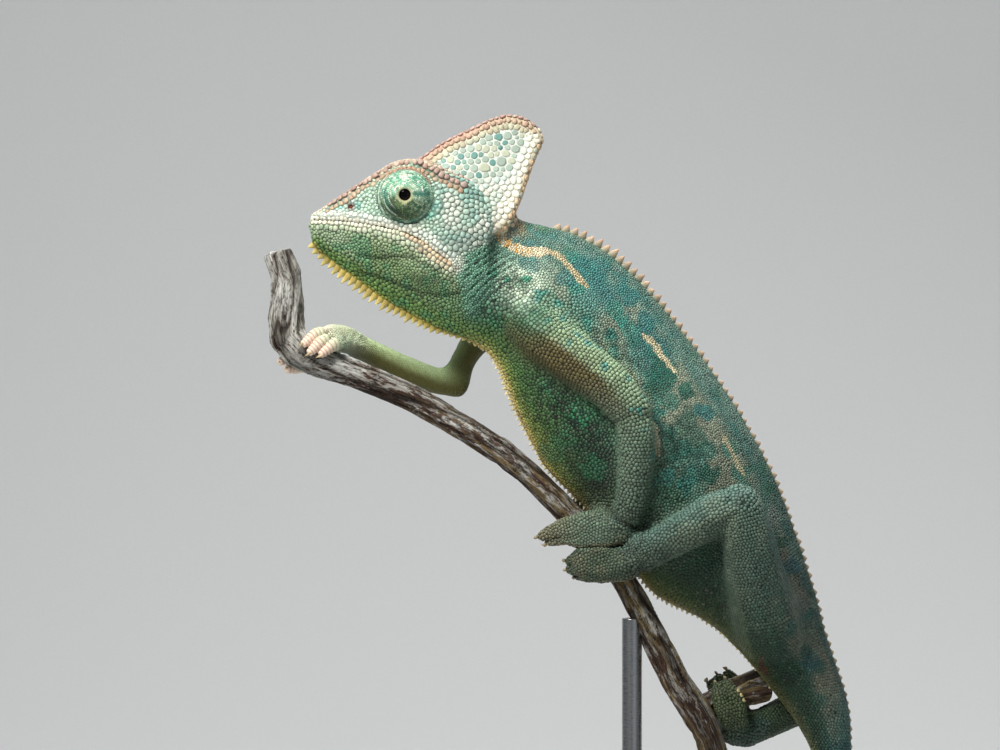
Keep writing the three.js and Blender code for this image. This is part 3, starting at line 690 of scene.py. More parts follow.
def new_piece(name: str) -> Piece:
    """Names the primitive just added, and puts its place and size into its mesh.

    Args:
        name: the name.

    Returns:
        The piece.
    """
    piece = bpy.context.object
    piece.name = piece.data.name = name
    bpy.ops.object.transform_apply(location=True, rotation=True, scale=True)
    return piece


def choose(piece: Piece, kind: str, wanted: Callable[..., bool]) -> None:
    """Selects, in edit mode, the edges or faces that pass a test, and no others.

    Args:
        piece: the piece in edit mode.
        kind: edges or faces.
        wanted: the test.
    """
    work = bmesh.from_edit_mesh(piece.data)
    for each in getattr(work, kind):
        each.select = wanted(each)
    bmesh.update_edit_mesh(piece.data)


def ease_edges(piece: Piece, width: float, segments: int, angle: float) -> None:
    """Rounds the edges that are sharper than an angle in degrees, over a width in metres.

    Args:
        piece: the piece.
        width: the width.
        segments: how many steps round.
        angle: the angle.
    """
    rounding = piece.modifiers.new("edge", "BEVEL")
    rounding.width = width
    rounding.segments = segments
    rounding.limit_method = "ANGLE"
    rounding.angle_limit = math.radians(angle)
    apply_all(piece)


def only(piece: Piece) -> None:
    """Selects one object and makes it active.

    Args:
        piece: the object.
    """
    bpy.ops.object.select_all(action="DESELECT")
    piece.select_set(True)
    bpy.context.view_layer.objects.active = piece


def apply_all(piece: Piece) -> None:
    """Applies every modifier of a piece in turn.

    Args:
        piece: the piece.
    """
    only(piece)
    for modifier in list(piece.modifiers):
        bpy.ops.object.modifier_apply(modifier=modifier.name)


def rgba(code: str) -> tuple[float, float, float, float]:
    """A hex colour as a shader socket takes it."""
    return (*linear(code), 1.0)


class Recipe:
    """A material in the making, with the kinds of node that the finishes share."""

    def __init__(self, name: str) -> None:
        """Starts the material, its shader and the Object coordinates.

        Args:
            name: the material's name.
        """
        self.material = bpy.data.materials.new(name)
        self.material.use_nodes = True
        self.tree = self.material.node_tree
        self.shader = self.tree.nodes["Principled BSDF"]
        self.place = self.add("TexCoord", {}, "Object")

    def put(self, made: bpy.types.Node, inputs: dict[str | int, object]) -> None:
        """Gives inputs of a node their values or links.

        Args:
            made: the node.
            inputs: a value or a linked socket for each input, by name or number.
        """
        for name, value in inputs.items():
            if isinstance(value, Socket):
                self.tree.links.new(value, made.inputs[name])
            else:
                made.inputs[name].default_value = value

    def add(self, kind: str, inputs: dict[str | int, object], output: str | int, **settings: object) -> Socket:
        """Adds a node.

        Args:
            kind: the node's type name after its first word.
            inputs: a value or a linked socket for each input, by name or number.
            output: the name or number of the output wanted.
            **settings: the node's own settings.

        Returns:
            That output.
        """
        made = self.tree.nodes.new("ShaderNode" + kind)
        for name, value in settings.items():
            setattr(made, name, value)
        self.put(made, inputs)
        return made.outputs[output]

    def read(self, name: str, output: str = "Fac") -> Socket:
        """What is stored on the mesh under a name."""
        return self.add("Attribute", {}, output, attribute_name=name)

    def noise(self, scale: float, detail: float = 2.0, rough: float = 0.5, at: Socket | None = None) -> Socket:
        """Noise, in Object coordinates unless others are given.

        Args:
            scale: grains to the metre, or to the unit of those coordinates.
            detail: how many finer layers it has.
            rough: how strong they are.
            at: the coordinates.

        Returns:
            The noise, from 0 to 1.
        """
        inputs = {"Vector": at or self.place, "Scale": scale, "Detail": detail, "Roughness": rough}
        return self.add("TexNoise", inputs, "Fac")

    def span(self, value: Socket, start: Pair = (0, 1), end: Pair = (0, 1), kind: str = "LINEAR") -> Socket:
        """Stretches a value from one range to another.

        Args:
            value: the value.
            start: the range that it is taken from.
            end: the range that it is brought to.
            kind: how it runs between them.

        Returns:
            The new value.
        """
        inputs = dict(zip(("From Min", "From Max", "To Min", "To Max"), (*start, *end)))
        return self.add("MapRange", {"Value": value, **inputs}, "Result", interpolation_type=kind)

    def times(self, value: Socket, by: Socket | float) -> Socket:
        """A value times another."""
        return self.add("Math", {0: value, 1: by}, "Value", operation="MULTIPLY")

    def blend(self, share: Socket | float, below: Socket, above: Socket, kind: str = "MIX") -> Socket:
        """Lays one colour over another by a share."""
        return self.add("Mix", {0: share, 6: below, 7: above}, 2, data_type="RGBA", blend_type=kind)

    def shade(self, colour: Socket, by: Socket) -> Socket:
        """A colour times a value."""
        return self.blend(1.0, colour, by, "MULTIPLY")

    def ramp(self, value: Socket, *marks: tuple[float, str]) -> Socket:
        """Turns a value into colours.

        Args:
            value: the value, from 0 to 1.
            *marks: values, each with its colour.

        Returns:
            The colour.
        """
        colour = self.add("ValToRGB", {"Fac": value}, "Color")
        stops = colour.node.color_ramp.elements
        while len(stops) < len(marks):
            stops.new(0.5)
        for stop, (at, code) in zip(stops, marks):
            stop.position = at
            stop.color = rgba(code)
        return colour

    def bump(self, height: Socket, distance: float, strength: float) -> None:
        """Roughens the finish by a height with a reach in millimetres."""
        inputs = {"Height": height, "Distance": distance * MM, "Strength": strength}
        self.put(self.shader, {"Normal": self.add("Bump", inputs, "Normal")})

    def finish(self, inputs: dict[str | int, object]) -> bpy.types.Material:
        """Gives the shader its inputs and hands over the material."""
        self.put(self.shader, inputs)
        return self.material


# ------------------------------------------------------------------ the skin's shape
class Surface:
    """A mesh held as arrays in millimetres, with what is needed to find places on it."""

    def __init__(self, piece: Piece) -> None:
        """Reads the mesh of a piece.

        Args:
            piece: the piece.
        """
        self.piece = piece
        mesh = piece.data
        mesh.calc_loop_triangles()
        self.points = np.zeros(len(mesh.vertices) * 3, np.float32)
        mesh.vertices.foreach_get("co", self.points)
        self.points = self.points.reshape(-1, 3).astype(float) / MM
        self.triangles = np.zeros(len(mesh.loop_triangles) * 3, np.int32)
        mesh.loop_triangles.foreach_get("vertices", self.triangles)
        self.triangles = self.triangles.reshape(-1, 3)
        self.edges = np.zeros(len(mesh.edges) * 2, np.int32)
        mesh.edges.foreach_get("vertices", self.edges)
        self.edges = self.edges.reshape(-1, 2)
        self.degree = np.bincount(self.edges.ravel(), minlength=len(self.points)).astype(float)
        self.refresh()

    def refresh(self) -> None:
        """Works out the normals again after the points have moved."""
        a, b, c = (self.points[self.triangles[:, k]] for k in range(3))
        flat = np.cross(b - a, c - a)
        self.areas = np.linalg.norm(flat, axis=1) / 2
        self.normals = np.stack(
            [
                sum(np.bincount(self.triangles[:, k], flat[:, axis], len(self.points)) for k in range(3))
                for axis in range(3)
            ],
            axis=1,
        )
        self.normals = unit(self.normals)

    def soften(self, values: Array, rounds: int, strength: float | Array = 0.5) -> Array:
        """Evens out values over the mesh.

        Args:
            values: one number or one row for each vertex.
            rounds: how many times.
            strength: how far each value moves to its neighbours' mean.

        Returns:
            The evened values.
        """
        a, b = self.edges[:, 0], self.edges[:, 1]
        wide = values.reshape(len(values), -1).astype(float)
        strength = np.broadcast_to(np.asarray(strength, float), (len(values),))[:, None]
        for _ in range(rounds):
            total = np.stack(
                [
                    np.bincount(a, wide[b, k], len(wide)) + np.bincount(b, wide[a, k], len(wide))
                    for k in range(wide.shape[1])
                ],
                axis=1,
            )
            wide = wide + strength * (total / self.degree[:, None] - wide)
        return wide.reshape(values.shape)

    def push(self, amount: Array) -> None:
        """Moves each vertex along its normal."""
        self.points += self.normals * np.asarray(amount)[:, None]
        self.refresh()

    def tree(self) -> BVHTree:
        """A search tree over the triangles, in millimetres."""
        return BVHTree.FromPolygons(self.points.tolist(), self.triangles.tolist())

    def read(self, values: Array, places: Array, faces: Array) -> Array:
        """Reads vertex values at places on the triangles given.

        Args:
            values: one number or one row for each vertex.
            places: rows of x, y, z.
            faces: the triangle that each place lies on.

        Returns:
            One number or one row for each place.
        """
        corners = self.triangles[faces]
        a, b, c = (self.points[corners[:, k]] for k in range(3))
        whole = np.cross(b - a, c - a)
        size = np.maximum((whole**2).sum(1), 1e-12)
        u = (np.cross(c - b, places - b) * whole).sum(1) / size
        v = (np.cross(a - c, places - c) * whole).sum(1) / size
        weights = np.clip(np.stack([u, v, 1 - u - v], axis=1), 0, 1)
        weights /= weights.sum(1, keepdims=True)
        wide = values.reshape(len(values), -1)
        found = sum(wide[corners[:, k]] * weights[:, k : k + 1] for k in range(3))
        return found.reshape((len(places), *values.shape[1:]))

    def write(self) -> None:
        """Puts the points back into the piece's mesh."""
        self.piece.data.vertices.foreach_set("co", (self.points * MM).astype(np.float32).ravel())
        self.piece.data.update()


@dataclass
class Skin:
    """One seamless skin over the solids of flesh: fused, evened out, and shaped in folds and lids."""

    swell: float = 0.22  # closes the clearance between the solids
    voxel: float = 0.84
    coat_depth: float = 0.32  # how far it lies inside the solids, under the scales
    surface: Surface | None = None
    nodes: Array = field(default_factory=lambda: np.zeros(0, int))

    def build(self) -> Piece:
        """Fuses, evens out and shapes the skin.

        Returns:
            The skin's object.
        """
        piece = self.fuse()
        self.refine(piece)
        self.surface = Surface(piece)
        self.nodes = self.name_places()
        self.even_out()
        self.shape_turrets()
        self.shape_head()
        self.shape_folds()
        self.shape_toes()
        self.surface.write()
        piece.data.shade_smooth()
        return piece

    def fuse(self) -> Piece:
        """Copies the nodes of flesh, swells them until they meet, and remeshes them as one.

        Returns:
            The fused skin.
        """
        bpy.ops.object.select_all(action="DESELECT")
        copies = []
        for name in FLESH:
            copied = solid_copy(name)
            work = bmesh.new()
            work.from_mesh(copied.data)
            bmesh.ops.remove_doubles(work, verts=work.verts, dist=0.002 * MM)
            work.to_mesh(copied.data)
            work.free()
            swelling = copied.modifiers.new("swell", "DISPLACE")
            swelling.mid_level = 0
            swelling.strength = self.swell * MM
            apply_all(copied)
            copies.append(copied)
        bpy.ops.object.select_all(action="DESELECT")
        for copied in copies:
            copied.select_set(True)
        bpy.context.view_layer.objects.active = copies[0]
        bpy.ops.object.join()
        piece = bpy.context.view_layer.objects.active
        piece.name = piece.data.name = "skin"
        remesh = piece.modifiers.new("fuse", "REMESH")
        remesh.mode = "VOXEL"
        remesh.voxel_size = self.voxel * MM
        apply_all(piece)
        self.drop_crumbs(piece)
        return piece

    def drop_crumbs(self, piece: Piece) -> None:
        """Removes every shell but the biggest, such as the tips of spines that the remesh cut off.

        Args:
            piece: the fused skin.
        """
        work = bmesh.new()
        work.from_mesh(piece.data)
        left = set(work.verts)
        shells = []
        while left:
            queue = [left.pop()]
            shell = list(queue)
            while queue:
                for edge in queue.pop().link_edges:
                    for vertex in edge.verts:
                        if vertex in left:
                            left.remove(vertex)
                            queue.append(vertex)
                            shell.append(vertex)
            shells.append(shell)
        shells.sort(key=len)
        LOG.info("skin shells: %s", [len(shell) for shell in shells[-4:]])
        bmesh.ops.delete(work, geom=[v for shell in shells[:-1] for v in shell], context="VERTS")
        work.to_mesh(piece.data)
        work.free()

    def refine(self, piece: Piece) -> None:
        """Divides the mesh where it carries fine forms: the turrets, the mouth and the nostrils.

        Args:
            piece: the fused skin.
        """
        for turret, mouth in ((EYE.turret + 0.8, 2.2), (7.6, 0)):
            work = bmesh.new()
            work.from_mesh(piece.data)
            points = np.array([v.co for v in work.verts]) / MM
            from_eye = np.hypot(points[:, 0] - EYE.x, points[:, 2] - EYE.z)
            from_ball = np.hypot(from_eye, np.abs(points[:, 1]) - EYE.depth)
            near = (from_eye < turret) & (np.abs(points[:, 1]) > 5) & ((from_ball > 5.7) | (from_eye < 1.9))
            from_nostril = np.hypot(points[:, 0] + 57, points[:, 2] - 235.5)
            near |= from_nostril < 2.2
            if mouth:
                near |= to_line(points, MOUTH_LINE)[0] < mouth
                bare = [toe for name, toes in TOES.items() if name not in BANDED_TOES for toe in toes]
                for gap, along in (to_toe(points, toe) for toe in bare):
                    near |= (gap < 1.35) & (along > 0.3) & (points[:, 0] < 20)
            work.verts.ensure_lookup_table()
            chosen = [e for e in work.edges if near[e.verts[0].index] and near[e.verts[1].index]]
            bmesh.ops.subdivide_edges(work, edges=chosen, cuts=1, use_grid_fill=True)
            bmesh.ops.triangulate(work, faces=[f for f in work.faces if len(f.verts) > 4])
            work.to_mesh(piece.data)
            work.free()

    def name_places(self) -> Array:
        """Finds the node of flesh that each vertex belongs to, as a number in NODE_NAMES.

        Returns:
            A number for each vertex.
        """
        corners, owner = [], []
        for number, name in enumerate(NODE_NAMES):
            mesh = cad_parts[name].data
            mesh.calc_loop_triangles()
            points = np.array([v.co for v in mesh.vertices]) / MM
            for triangle in mesh.loop_triangles:
                corners.append(points[list(triangle.vertices)])
                owner.append(number)
        flat = np.vstack(corners)
        tree = BVHTree.FromPolygons(flat.tolist(), np.arange(len(flat)).reshape(-1, 3).tolist())
        owner = np.array(owner)
        return owner[[tree.find_nearest(p)[2] for p in self.surface.points.tolist()]]

    def is_in(self, *names: str) -> Array:
        """Which vertices belong to nodes whose names start with one of those given, as 0 or 1."""
        wanted = [k for k, name in enumerate(NODE_NAMES) if name.startswith(names)]
        return np.isin(self.nodes, wanted).astype(float)

    def shares(self) -> Array:
        """How much of each vertex belongs to each Part: sharp on the head, and running over at the limbs.

        Returns:
            A row of shares for each vertex, which add up to 1.
        """
        part = np.array([FLESH[name].value for name in NODE_NAMES])[self.nodes]
        whole = np.eye(len(Part))[part]
        sharp = self.surface.soften(whole, 2)
        wide = self.surface.soften(whole, 36)
        head = share_of(sharp, Part.HEAD, Part.CASQUE, Part.JAW, Part.EYE)
        neck = ease(-34, -22, self.surface.points[:, 0]) * (self.surface.points[:, 2] < 226)
        head = head * (1 - 0.7 * neck)
        x, _, z = self.surface.points.T
        hip = bell((x - 48) / 10, (z - 126) / 12) + bell((x + 13) / 6, (z - 209) / 6)
        hip = np.clip(hip, 0, 0.85) * share_of(wide, Part.LEG, Part.ARM)
        wide[:, Part.BODY.value] += hip
        wide[:, Part.LEG.value] -= hip * (wide[:, Part.LEG.value] > 0.02)
        wide[:, Part.ARM.value] -= hip * (wide[:, Part.ARM.value] > 0.02)
        wide = np.clip(wide, 0, 1)
        shares = sharp * head[:, None] + wide * (1 - head)[:, None]
        return shares / shares.sum(1, keepdims=True)

    def even_out(self) -> None:
        """Takes the facets and the crests' spikes off, and sinks the skin by the depth of the coat."""
        surface = self.surface
        surface.points = surface.soften(surface.points, 3)
        lines = [to_line(surface.points, line)[0] for line in (BACK_LINE, BELLY_LINE, CHIN_LINE)]
        middle = 1 - ease(1.2, 2.6, np.abs(surface.points[:, 1]))
        crest = middle * (1 - ease(2.0, 4.5, np.minimum.reduce(lines)))
        crest *= 1 - self.is_in("hand", "foot", "casque", "eye")
        surface.points = surface.soften(surface.points, 14, 0.6 * crest)
        surface.refresh()
        fine = self.is_in("hand", "foot", "tail_tip", "tail_coil_3")
        surface.push(-self.swell - self.coat_depth * (1 - 0.4 * surface.soften(fine, 4)))

    def in_socket(self) -> Array:
        """Which vertices line the sockets and face the eyeball, as 0 or 1.

        Returns:
            A number for each vertex.
        """
        side = np.sign(self.surface.points[:, 1:2]) * (0, 1, 0) + (1, 0, 1)
        away = self.surface.points * side - (EYE.x, EYE.depth, EYE.z)
        facing = (away * self.surface.normals * side).sum(1)
        return ((facing < 0) & (np.linalg.norm(away, axis=1) < 8)).astype(float)

    def shape_turrets(self) -> None:
        """Turns each turret true, with its rings of folds and the small round opening over the eye."""
        surface = self.surface
        x, y, z = surface.points.T
        radius = np.hypot(x - EYE.x, z - EYE.z)
        profile = np.array(
            [(0, 12.8), (1.45, 13.0), (1.62, 14.6), (1.75, 15.6), (2.1, 15.75), (2.5, 15.65), (3.2, 15.3),
             (4.6, 14.2), (5.6, 13.05), (6.3, 11.9), (6.9, 10.8), (7.4, 9.6)]
        )
        reach = np.interp(radius, profile[:, 0], profile[:, 1])
        inner = self.in_socket()
        belongs = (radius < 7.4) & (np.abs(y) > 7.5) * (inner < 0.5)
        share = (1 - ease(6.6, 7.4, radius)) * belongs
        surface.points[:, 1] = np.sign(y) * (np.abs(y) + (reach - np.abs(y)) * share)
        surface.refresh()
        outer = (np.abs(y) > 5) * (1 - inner)
        groove, fold = turret_creases(surface.points)
        swell = 0.3 * bell((radius - 8.6) / 0.5) * (z < EYE.z + 3)
        surface.push((swell + 0.03 * fold - 0.2 * groove) * outer)

    def shape_head(self) -> None:
        """Opens the mouth line between its lips, sinks the nostrils and raises the ridges."""
        surface = self.surface
        points = surface.points
        side = np.abs(points[:, 1])
        on_head = self.is_in("head", "casque", "lower_jaw", "eye")
        mouth, _ = to_line(points, MOUTH_LINE)
        lips = 0.25 * bell((mouth - 1.1) / 0.6) - 0.2 * bell(mouth / 0.24)
        lips += 0.3 * bell((mouth - 1.6) / 1.0) * (points[:, 2] > 224) * ease(-50, -42, points[:, 0])
        brow, _ = to_line(points, BROW_LINE)
        ridge = 0.45 * bell(brow / 0.9) * (side > 2.5)
        rear, _ = to_line(points, CASQUE_REAR)
        rim = 0.45 * bell(rear / 1.2) * (side > 0.6)
        temple = 0.5 * bell(to_line(points, ((-28.7, 240.8), (-24, 238), (-20.5, 234)))[0] / 1.4)
        chin = 0.8 * bell((points[:, 0] + 66) / 3.0, (points[:, 2] - 227) / 3.0)
        nostril = -0.9 * bell(np.hypot(points[:, 0] + 57, points[:, 2] - 235.5) / 0.65)
        jaw_bulge = 0.5 * bell((points[:, 0] + 38) / 5, (points[:, 2] - 220) / 3)
        lobe = 0.6 * bell((points[:, 0] + 21.5) / 2.6, (points[:, 2] - 231) / 2.6)
        away = 1 - (np.hypot(points[:, 0] - EYE.x, points[:, 2] - EYE.z) < 8.3) * (side > 5)
        amount = lips + (ridge + rim + temple) * away + nostril + jaw_bulge + lobe + chin
        surface.push(amount * surface.soften(on_head, 2) * (side > 0.4))

    def shape_toes(self) -> None:
        """Parts the toes with grooves, and closes the left foot up to the hand above it."""
        surface = self.surface
        for name, toes in TOES.items():
            mask = surface.soften(self.is_in(name), 1)
            gaps, alongs = zip(*(to_toe(surface.points, toe) for toe in toes))
            order = np.sort(np.array(gaps), axis=0)
            along = np.max(alongs, axis=0)
            groove = bell((order[1] - order[0]) / 0.17) * (order[0] < 1.6)
            begin = 0.62 if name == "hand_outer_left" else 0.72 if name == "foot_outer_left" else 0.3
            surface.push(-0.75 * groove * ease(begin, begin + 0.2, along) * mask)
        surface.push(-0.25 * under_bands(surface.points) * self.is_in("hand_inner_right", "hand_outer_right"))
        x, y, z = surface.points.T
        down = self.is_in("hand_outer_left", "forearm_left") * ease(0.1, 0.6, -surface.normals[:, 2])
        up = self.is_in("foot_outer_left", "shank_left") * ease(0.1, 0.6, surface.normals[:, 2])
        window = ease(-4, 1, x) * (1 - ease(14, 20, x)) * bell((z - 151) / 3.5)
        surface.points[:, 2] += surface.soften((1.35 * up - 1.2 * down) * window, 2)
        surface.refresh()
        paws = self.is_in("hand_outer_left", "hand_inner_left", "forearm_left", "foot_outer_left", "shank_left")
        surface.push(-1.3 * paw_folds(surface.points) * surface.soften(paws, 2))
        x, y, z = surface.points.T
        elbow = bell((x + 30.5) / 6, (z - 191) / 6) * self.is_in("forearm_right", "upper_arm_right")
        surface.points = surface.soften(surface.points, 30, 0.5 * np.clip(1.3 * elbow, 0, 1))
        surface.refresh()

    def shape_folds(self) -> None:
        """Runs the limbs into the body, and presses in the creases, the neck's folds and the wrinkles."""
        surface = self.surface
        limb = self.is_in("upper_arm", "forearm", "hand", "thigh", "shank", "foot")
        x, y, z = surface.points.T
        share = surface.soften(limb, 12)
        seam = 4 * share * (1 - share)
        joins = np.zeros(len(x))
        for cx, cy, cz, reach in ((-11, -8, 206, 9), (-12, 8, 207, 8), (47, -9, 130, 15), (51, 7, 125, 10)):
            joins = np.maximum(joins, bell((x - cx) / reach, (y - cy) / reach, (z - cz) / reach))
        blend = np.clip(1.6 * joins * seam, 0, 1)
        surface.points = surface.soften(surface.points, 90, 0.5 * blend)
        surface.refresh()
        crease = np.zeros(len(limb))
        for mask, depth in (
            (limb, 0.45 * (1 - joins)),
            (self.is_in("forearm", "hand"), 0.5),
            (self.is_in("shank", "foot"), 0.5),
            (self.is_in("hand_outer", "foot_outer"), 0.3),
        ):
            share = surface.soften(mask, 4)
            crease = np.maximum(crease, depth * (4 * share * (1 - share)) ** 2)
        x, y, z = surface.points.T
        neck = self.is_in("neck") + 0.6 * self.is_in("head", "lower_jaw") * ease(-33, -29, x)
        neck = surface.soften(neck, 4) * (1 - ease(-8, -3, x)) * (1 - ease(222, 226, z))
        wander = 2.2 * cloud(surface.points, 6, 3)
        folds = neck * 0.22 * (cloud(surface.points, 3.2, 76) - 0.5)
        front = surface.soften(self.is_in("neck", "head", "lower_jaw", "chest"), 2)
        folds -= 0.6 * neck_creases(surface.points) * front
        below = surface.soften(self.is_in("lower_jaw", "head"), 1)
        for line, wide, depth in JAW_FOLDS:
            folds -= depth * bell(to_line(surface.points, line)[0] / wide) * below
        bulge = bell((x + 39) / 7, (z - 219.4) / 2.4)
        folds += 0.7 * bulge * below * (np.abs(y) > 2)
        armpit = bell((x + 2) / 7, (z - 193) / 5) * self.is_in("chest", "neck")
        folds += armpit * 0.25 * np.sin(TURN * ((0.7 * x + 0.7 * z) + wander) / 2.6)
        wrinkles = np.zeros(len(x))
        for cx, cz, dx, dz, reach in (
            (9.5, 157.4, 0.82, 0.57, 3.2),
            (14.0, 149.2, -0.88, -0.47, 3.2),
            (12.2, 185.2, 0.3, -0.95, 2.6),
            (38.6, 160.6, 0.95, -0.3, 2.6),
            (-57.5, 202.0, -0.9, 0.4, 2.6),
            (-30.6, 191.2, -0.6, -0.8, 2.4),
            (38.4, 105.0, -0.5, 0.86, 2.6),
        ):
            local = (x - cx) * dx + (z - cz) * dz
            across = np.abs((x - cx) * dz - (z - cz) * dx)
            band = bell(local / reach) * (across < 9) * (np.abs(local) < 7)
            wrinkles += band * np.sin(TURN * local / 1.7)
        body = self.is_in("neck", "chest", "trunk", "pelvis")
        cracked = 0.42 * cracks(surface.points) * surface.soften(body, 3)
        surface.push(folds - cracked - surface.soften(crease, 1) + 0.14 * wrinkles * surface.soften(limb, 2))
        surface.points = surface.soften(surface.points, 1, 0.25 * (1 - self.is_in("eye", "head", "lower_jaw")))
        surface.refresh()


# ------------------------------------------------------------------ markings
@dataclass(frozen=True)
class Streak:
    """A coloured line on both sides of the animal, in the side view."""

    line: Line
    width: float
    colour: str
    bars: str = ""  # the colour of fine bars across it

    def lay(self, tone: Array, points: Array) -> Array:
        """Lays the streak over the colours given.

        Args:
            tone: rows of linear colour.
            points: rows of x, y, z in millimetres.

        Returns:
            The new colours.
        """
        gap, along = to_line(points, self.line)
        length = sum(math.dist(a, b) for a, b in zip(self.line[:-1], self.line[1:]))
        ends = ease(-0.5, 1.5, along) * ease(-0.5, 2.5, length - along)
        ragged = self.width * (0.45 + 1.1 * cloud(points, 1.5, 11)) * (0.45 + 0.55 * ends)
        share = 1 - ease(0.38, 0.62, gap / ragged)
        paint = self.colour
        if self.bars:
            bar = 0.5 + 0.5 * np.sin(TURN * (along + 0.5 * points[:, 2] + 1.4 * cloud(points, 1.5, 13)) / 1.7)
            paint = mix(paint, self.bars, ease(0.2, 0.5, bar + 0.08 * (along - 5)))
        return mix(tone, paint, share)


@dataclass(frozen=True)
class Spot:
    """A ragged round blotch on both sides of the animal, in the side view."""

    x: float
    z: float
    radius: float
    colour: str
    strength: float = 0.9

    def lay(self, tone: Array, points: Array) -> Array:
        """Lays the blotch over the colours given.

        Args:
            tone: rows of linear colour.
            points: rows of x, y, z in millimetres.

        Returns:
            The new colours.
        """
        gap = np.hypot(points[:, 0] - self.x, points[:, 2] - self.z)
        ragged = self.radius * (0.3 + 1.4 * cloud(points, 0.5 * self.radius + 0.7, 12))
        return mix(tone, self.colour, self.strength * (1 - ease(0.75, 1.15, gap / ragged)))


BLUE_TEAL, DEEP_TEAL, TURQUOISE = "#3f8683", "#28705f", "#3c9385"
SPOTS = tuple(
    Spot(*spot)
    for spot in (
        (26.4, 178.6, 6.0, DEEP_TEAL, 0.7), (20.5, 176.0, 3.2, DEEP_TEAL, 0.7), (21, 168.6, 2.6, TURQUOISE),
        (32, 169.3, 2.2, DEEP_TEAL), (25.7, 166.5, 2.3, TURQUOISE), (19.3, 193.6, 4.2, DEEP_TEAL),
        (12.1, 213.6, 3.0, BLUE_TEAL), (15.7, 207, 3.2, BLUE_TEAL), (10, 207, 1.9, TURQUOISE),
        (7.1, 203.4, 1.6, TURQUOISE), (7.8, 199.0, 1.6, TURQUOISE), (26.4, 189.3, 2.0, DEEP_TEAL),
        (19.3, 184.7, 1.7, TURQUOISE), (5.2, 189.5, 3.4, "#2f9c78"), (0.6, 185.5, 4.2, "#2a7f56"),
        (30.5, 184.5, 2.4, BLUE_TEAL), (35.5, 163.5, 1.8, DEEP_TEAL), (29.5, 160.2, 1.7, TURQUOISE),
        (-17.9, 217.5, 1.2, "#2f8f70"), (-13.2, 217.5, 1.1, "#2f8f70"), (-10, 213.4, 1.5, TURQUOISE),
        (-21.4, 219.3, 1.2, "#2f8f70"), (-5.5, 211.6, 1.3, TURQUOISE), (1.5, 207.5, 1.5, TURQUOISE),
        (-12.5, 221.5, 2.2, BLUE_TEAL, 0.6), (3, 220.5, 3.4, BLUE_TEAL, 0.7), (-3, 218.4, 2.6, BLUE_TEAL, 0.7),
        (0.5, 150.5, 3.0, "#2c6c4a", 0.5), (-6, 176, 4.5, "#2c6c4a", 0.5), (3, 171, 3.5, "#2a7f56", 0.5),
        (10, 181, 3.0, "#2a7f56", 0.5), (48, 158, 2.4, "#86938c", 0.6), (52, 146, 2.2, "#3b8790", 0.7),
        (54.5, 136.5, 3.0, "#98998f", 0.7), (50.5, 152, 1.6, DEEP_TEAL, 0.7), (57, 122, 2.6, "#3b8790", 0.5),
    )
)
STREAKS = (
    Streak(((-20.6, 228.2), (-17, 225.6), (-12.6, 224.2), (-7.6, 224.5)), 2.5, "#d9a44c", "#e9dcba"),
    Streak(((-7.6, 224.5), (-4.6, 222.6), (-1.6, 219.2), (1.6, 215.4)), 1.5, "#cfc199"),
    Streak(((15.4, 204.0), (18.6, 200.6), (21.2, 197.2), (23.4, 194.6)), 1.5, "#d9d0ac"),
    Streak(((35.2, 178.8), (36.9, 175.8), (38.6, 172.0), (40.6, 168.9)), 1.3, "#cfcaa6"),
    Streak(((17.6, 182.4), (18.4, 179.0), (18.6, 175.6), (18.9, 173.6)), 1.6, "#e0d9b6"),
    Streak(((-7.4, 202.6), (-3.4, 199.0), (0.6, 195.4), (3.8, 192.2)), 1.7, "#b9a47c"),
    Streak(((44.3, 124.4), (45.0, 121.6), (46.6, 119.2)), 1.2, "#8a5a45"),
)


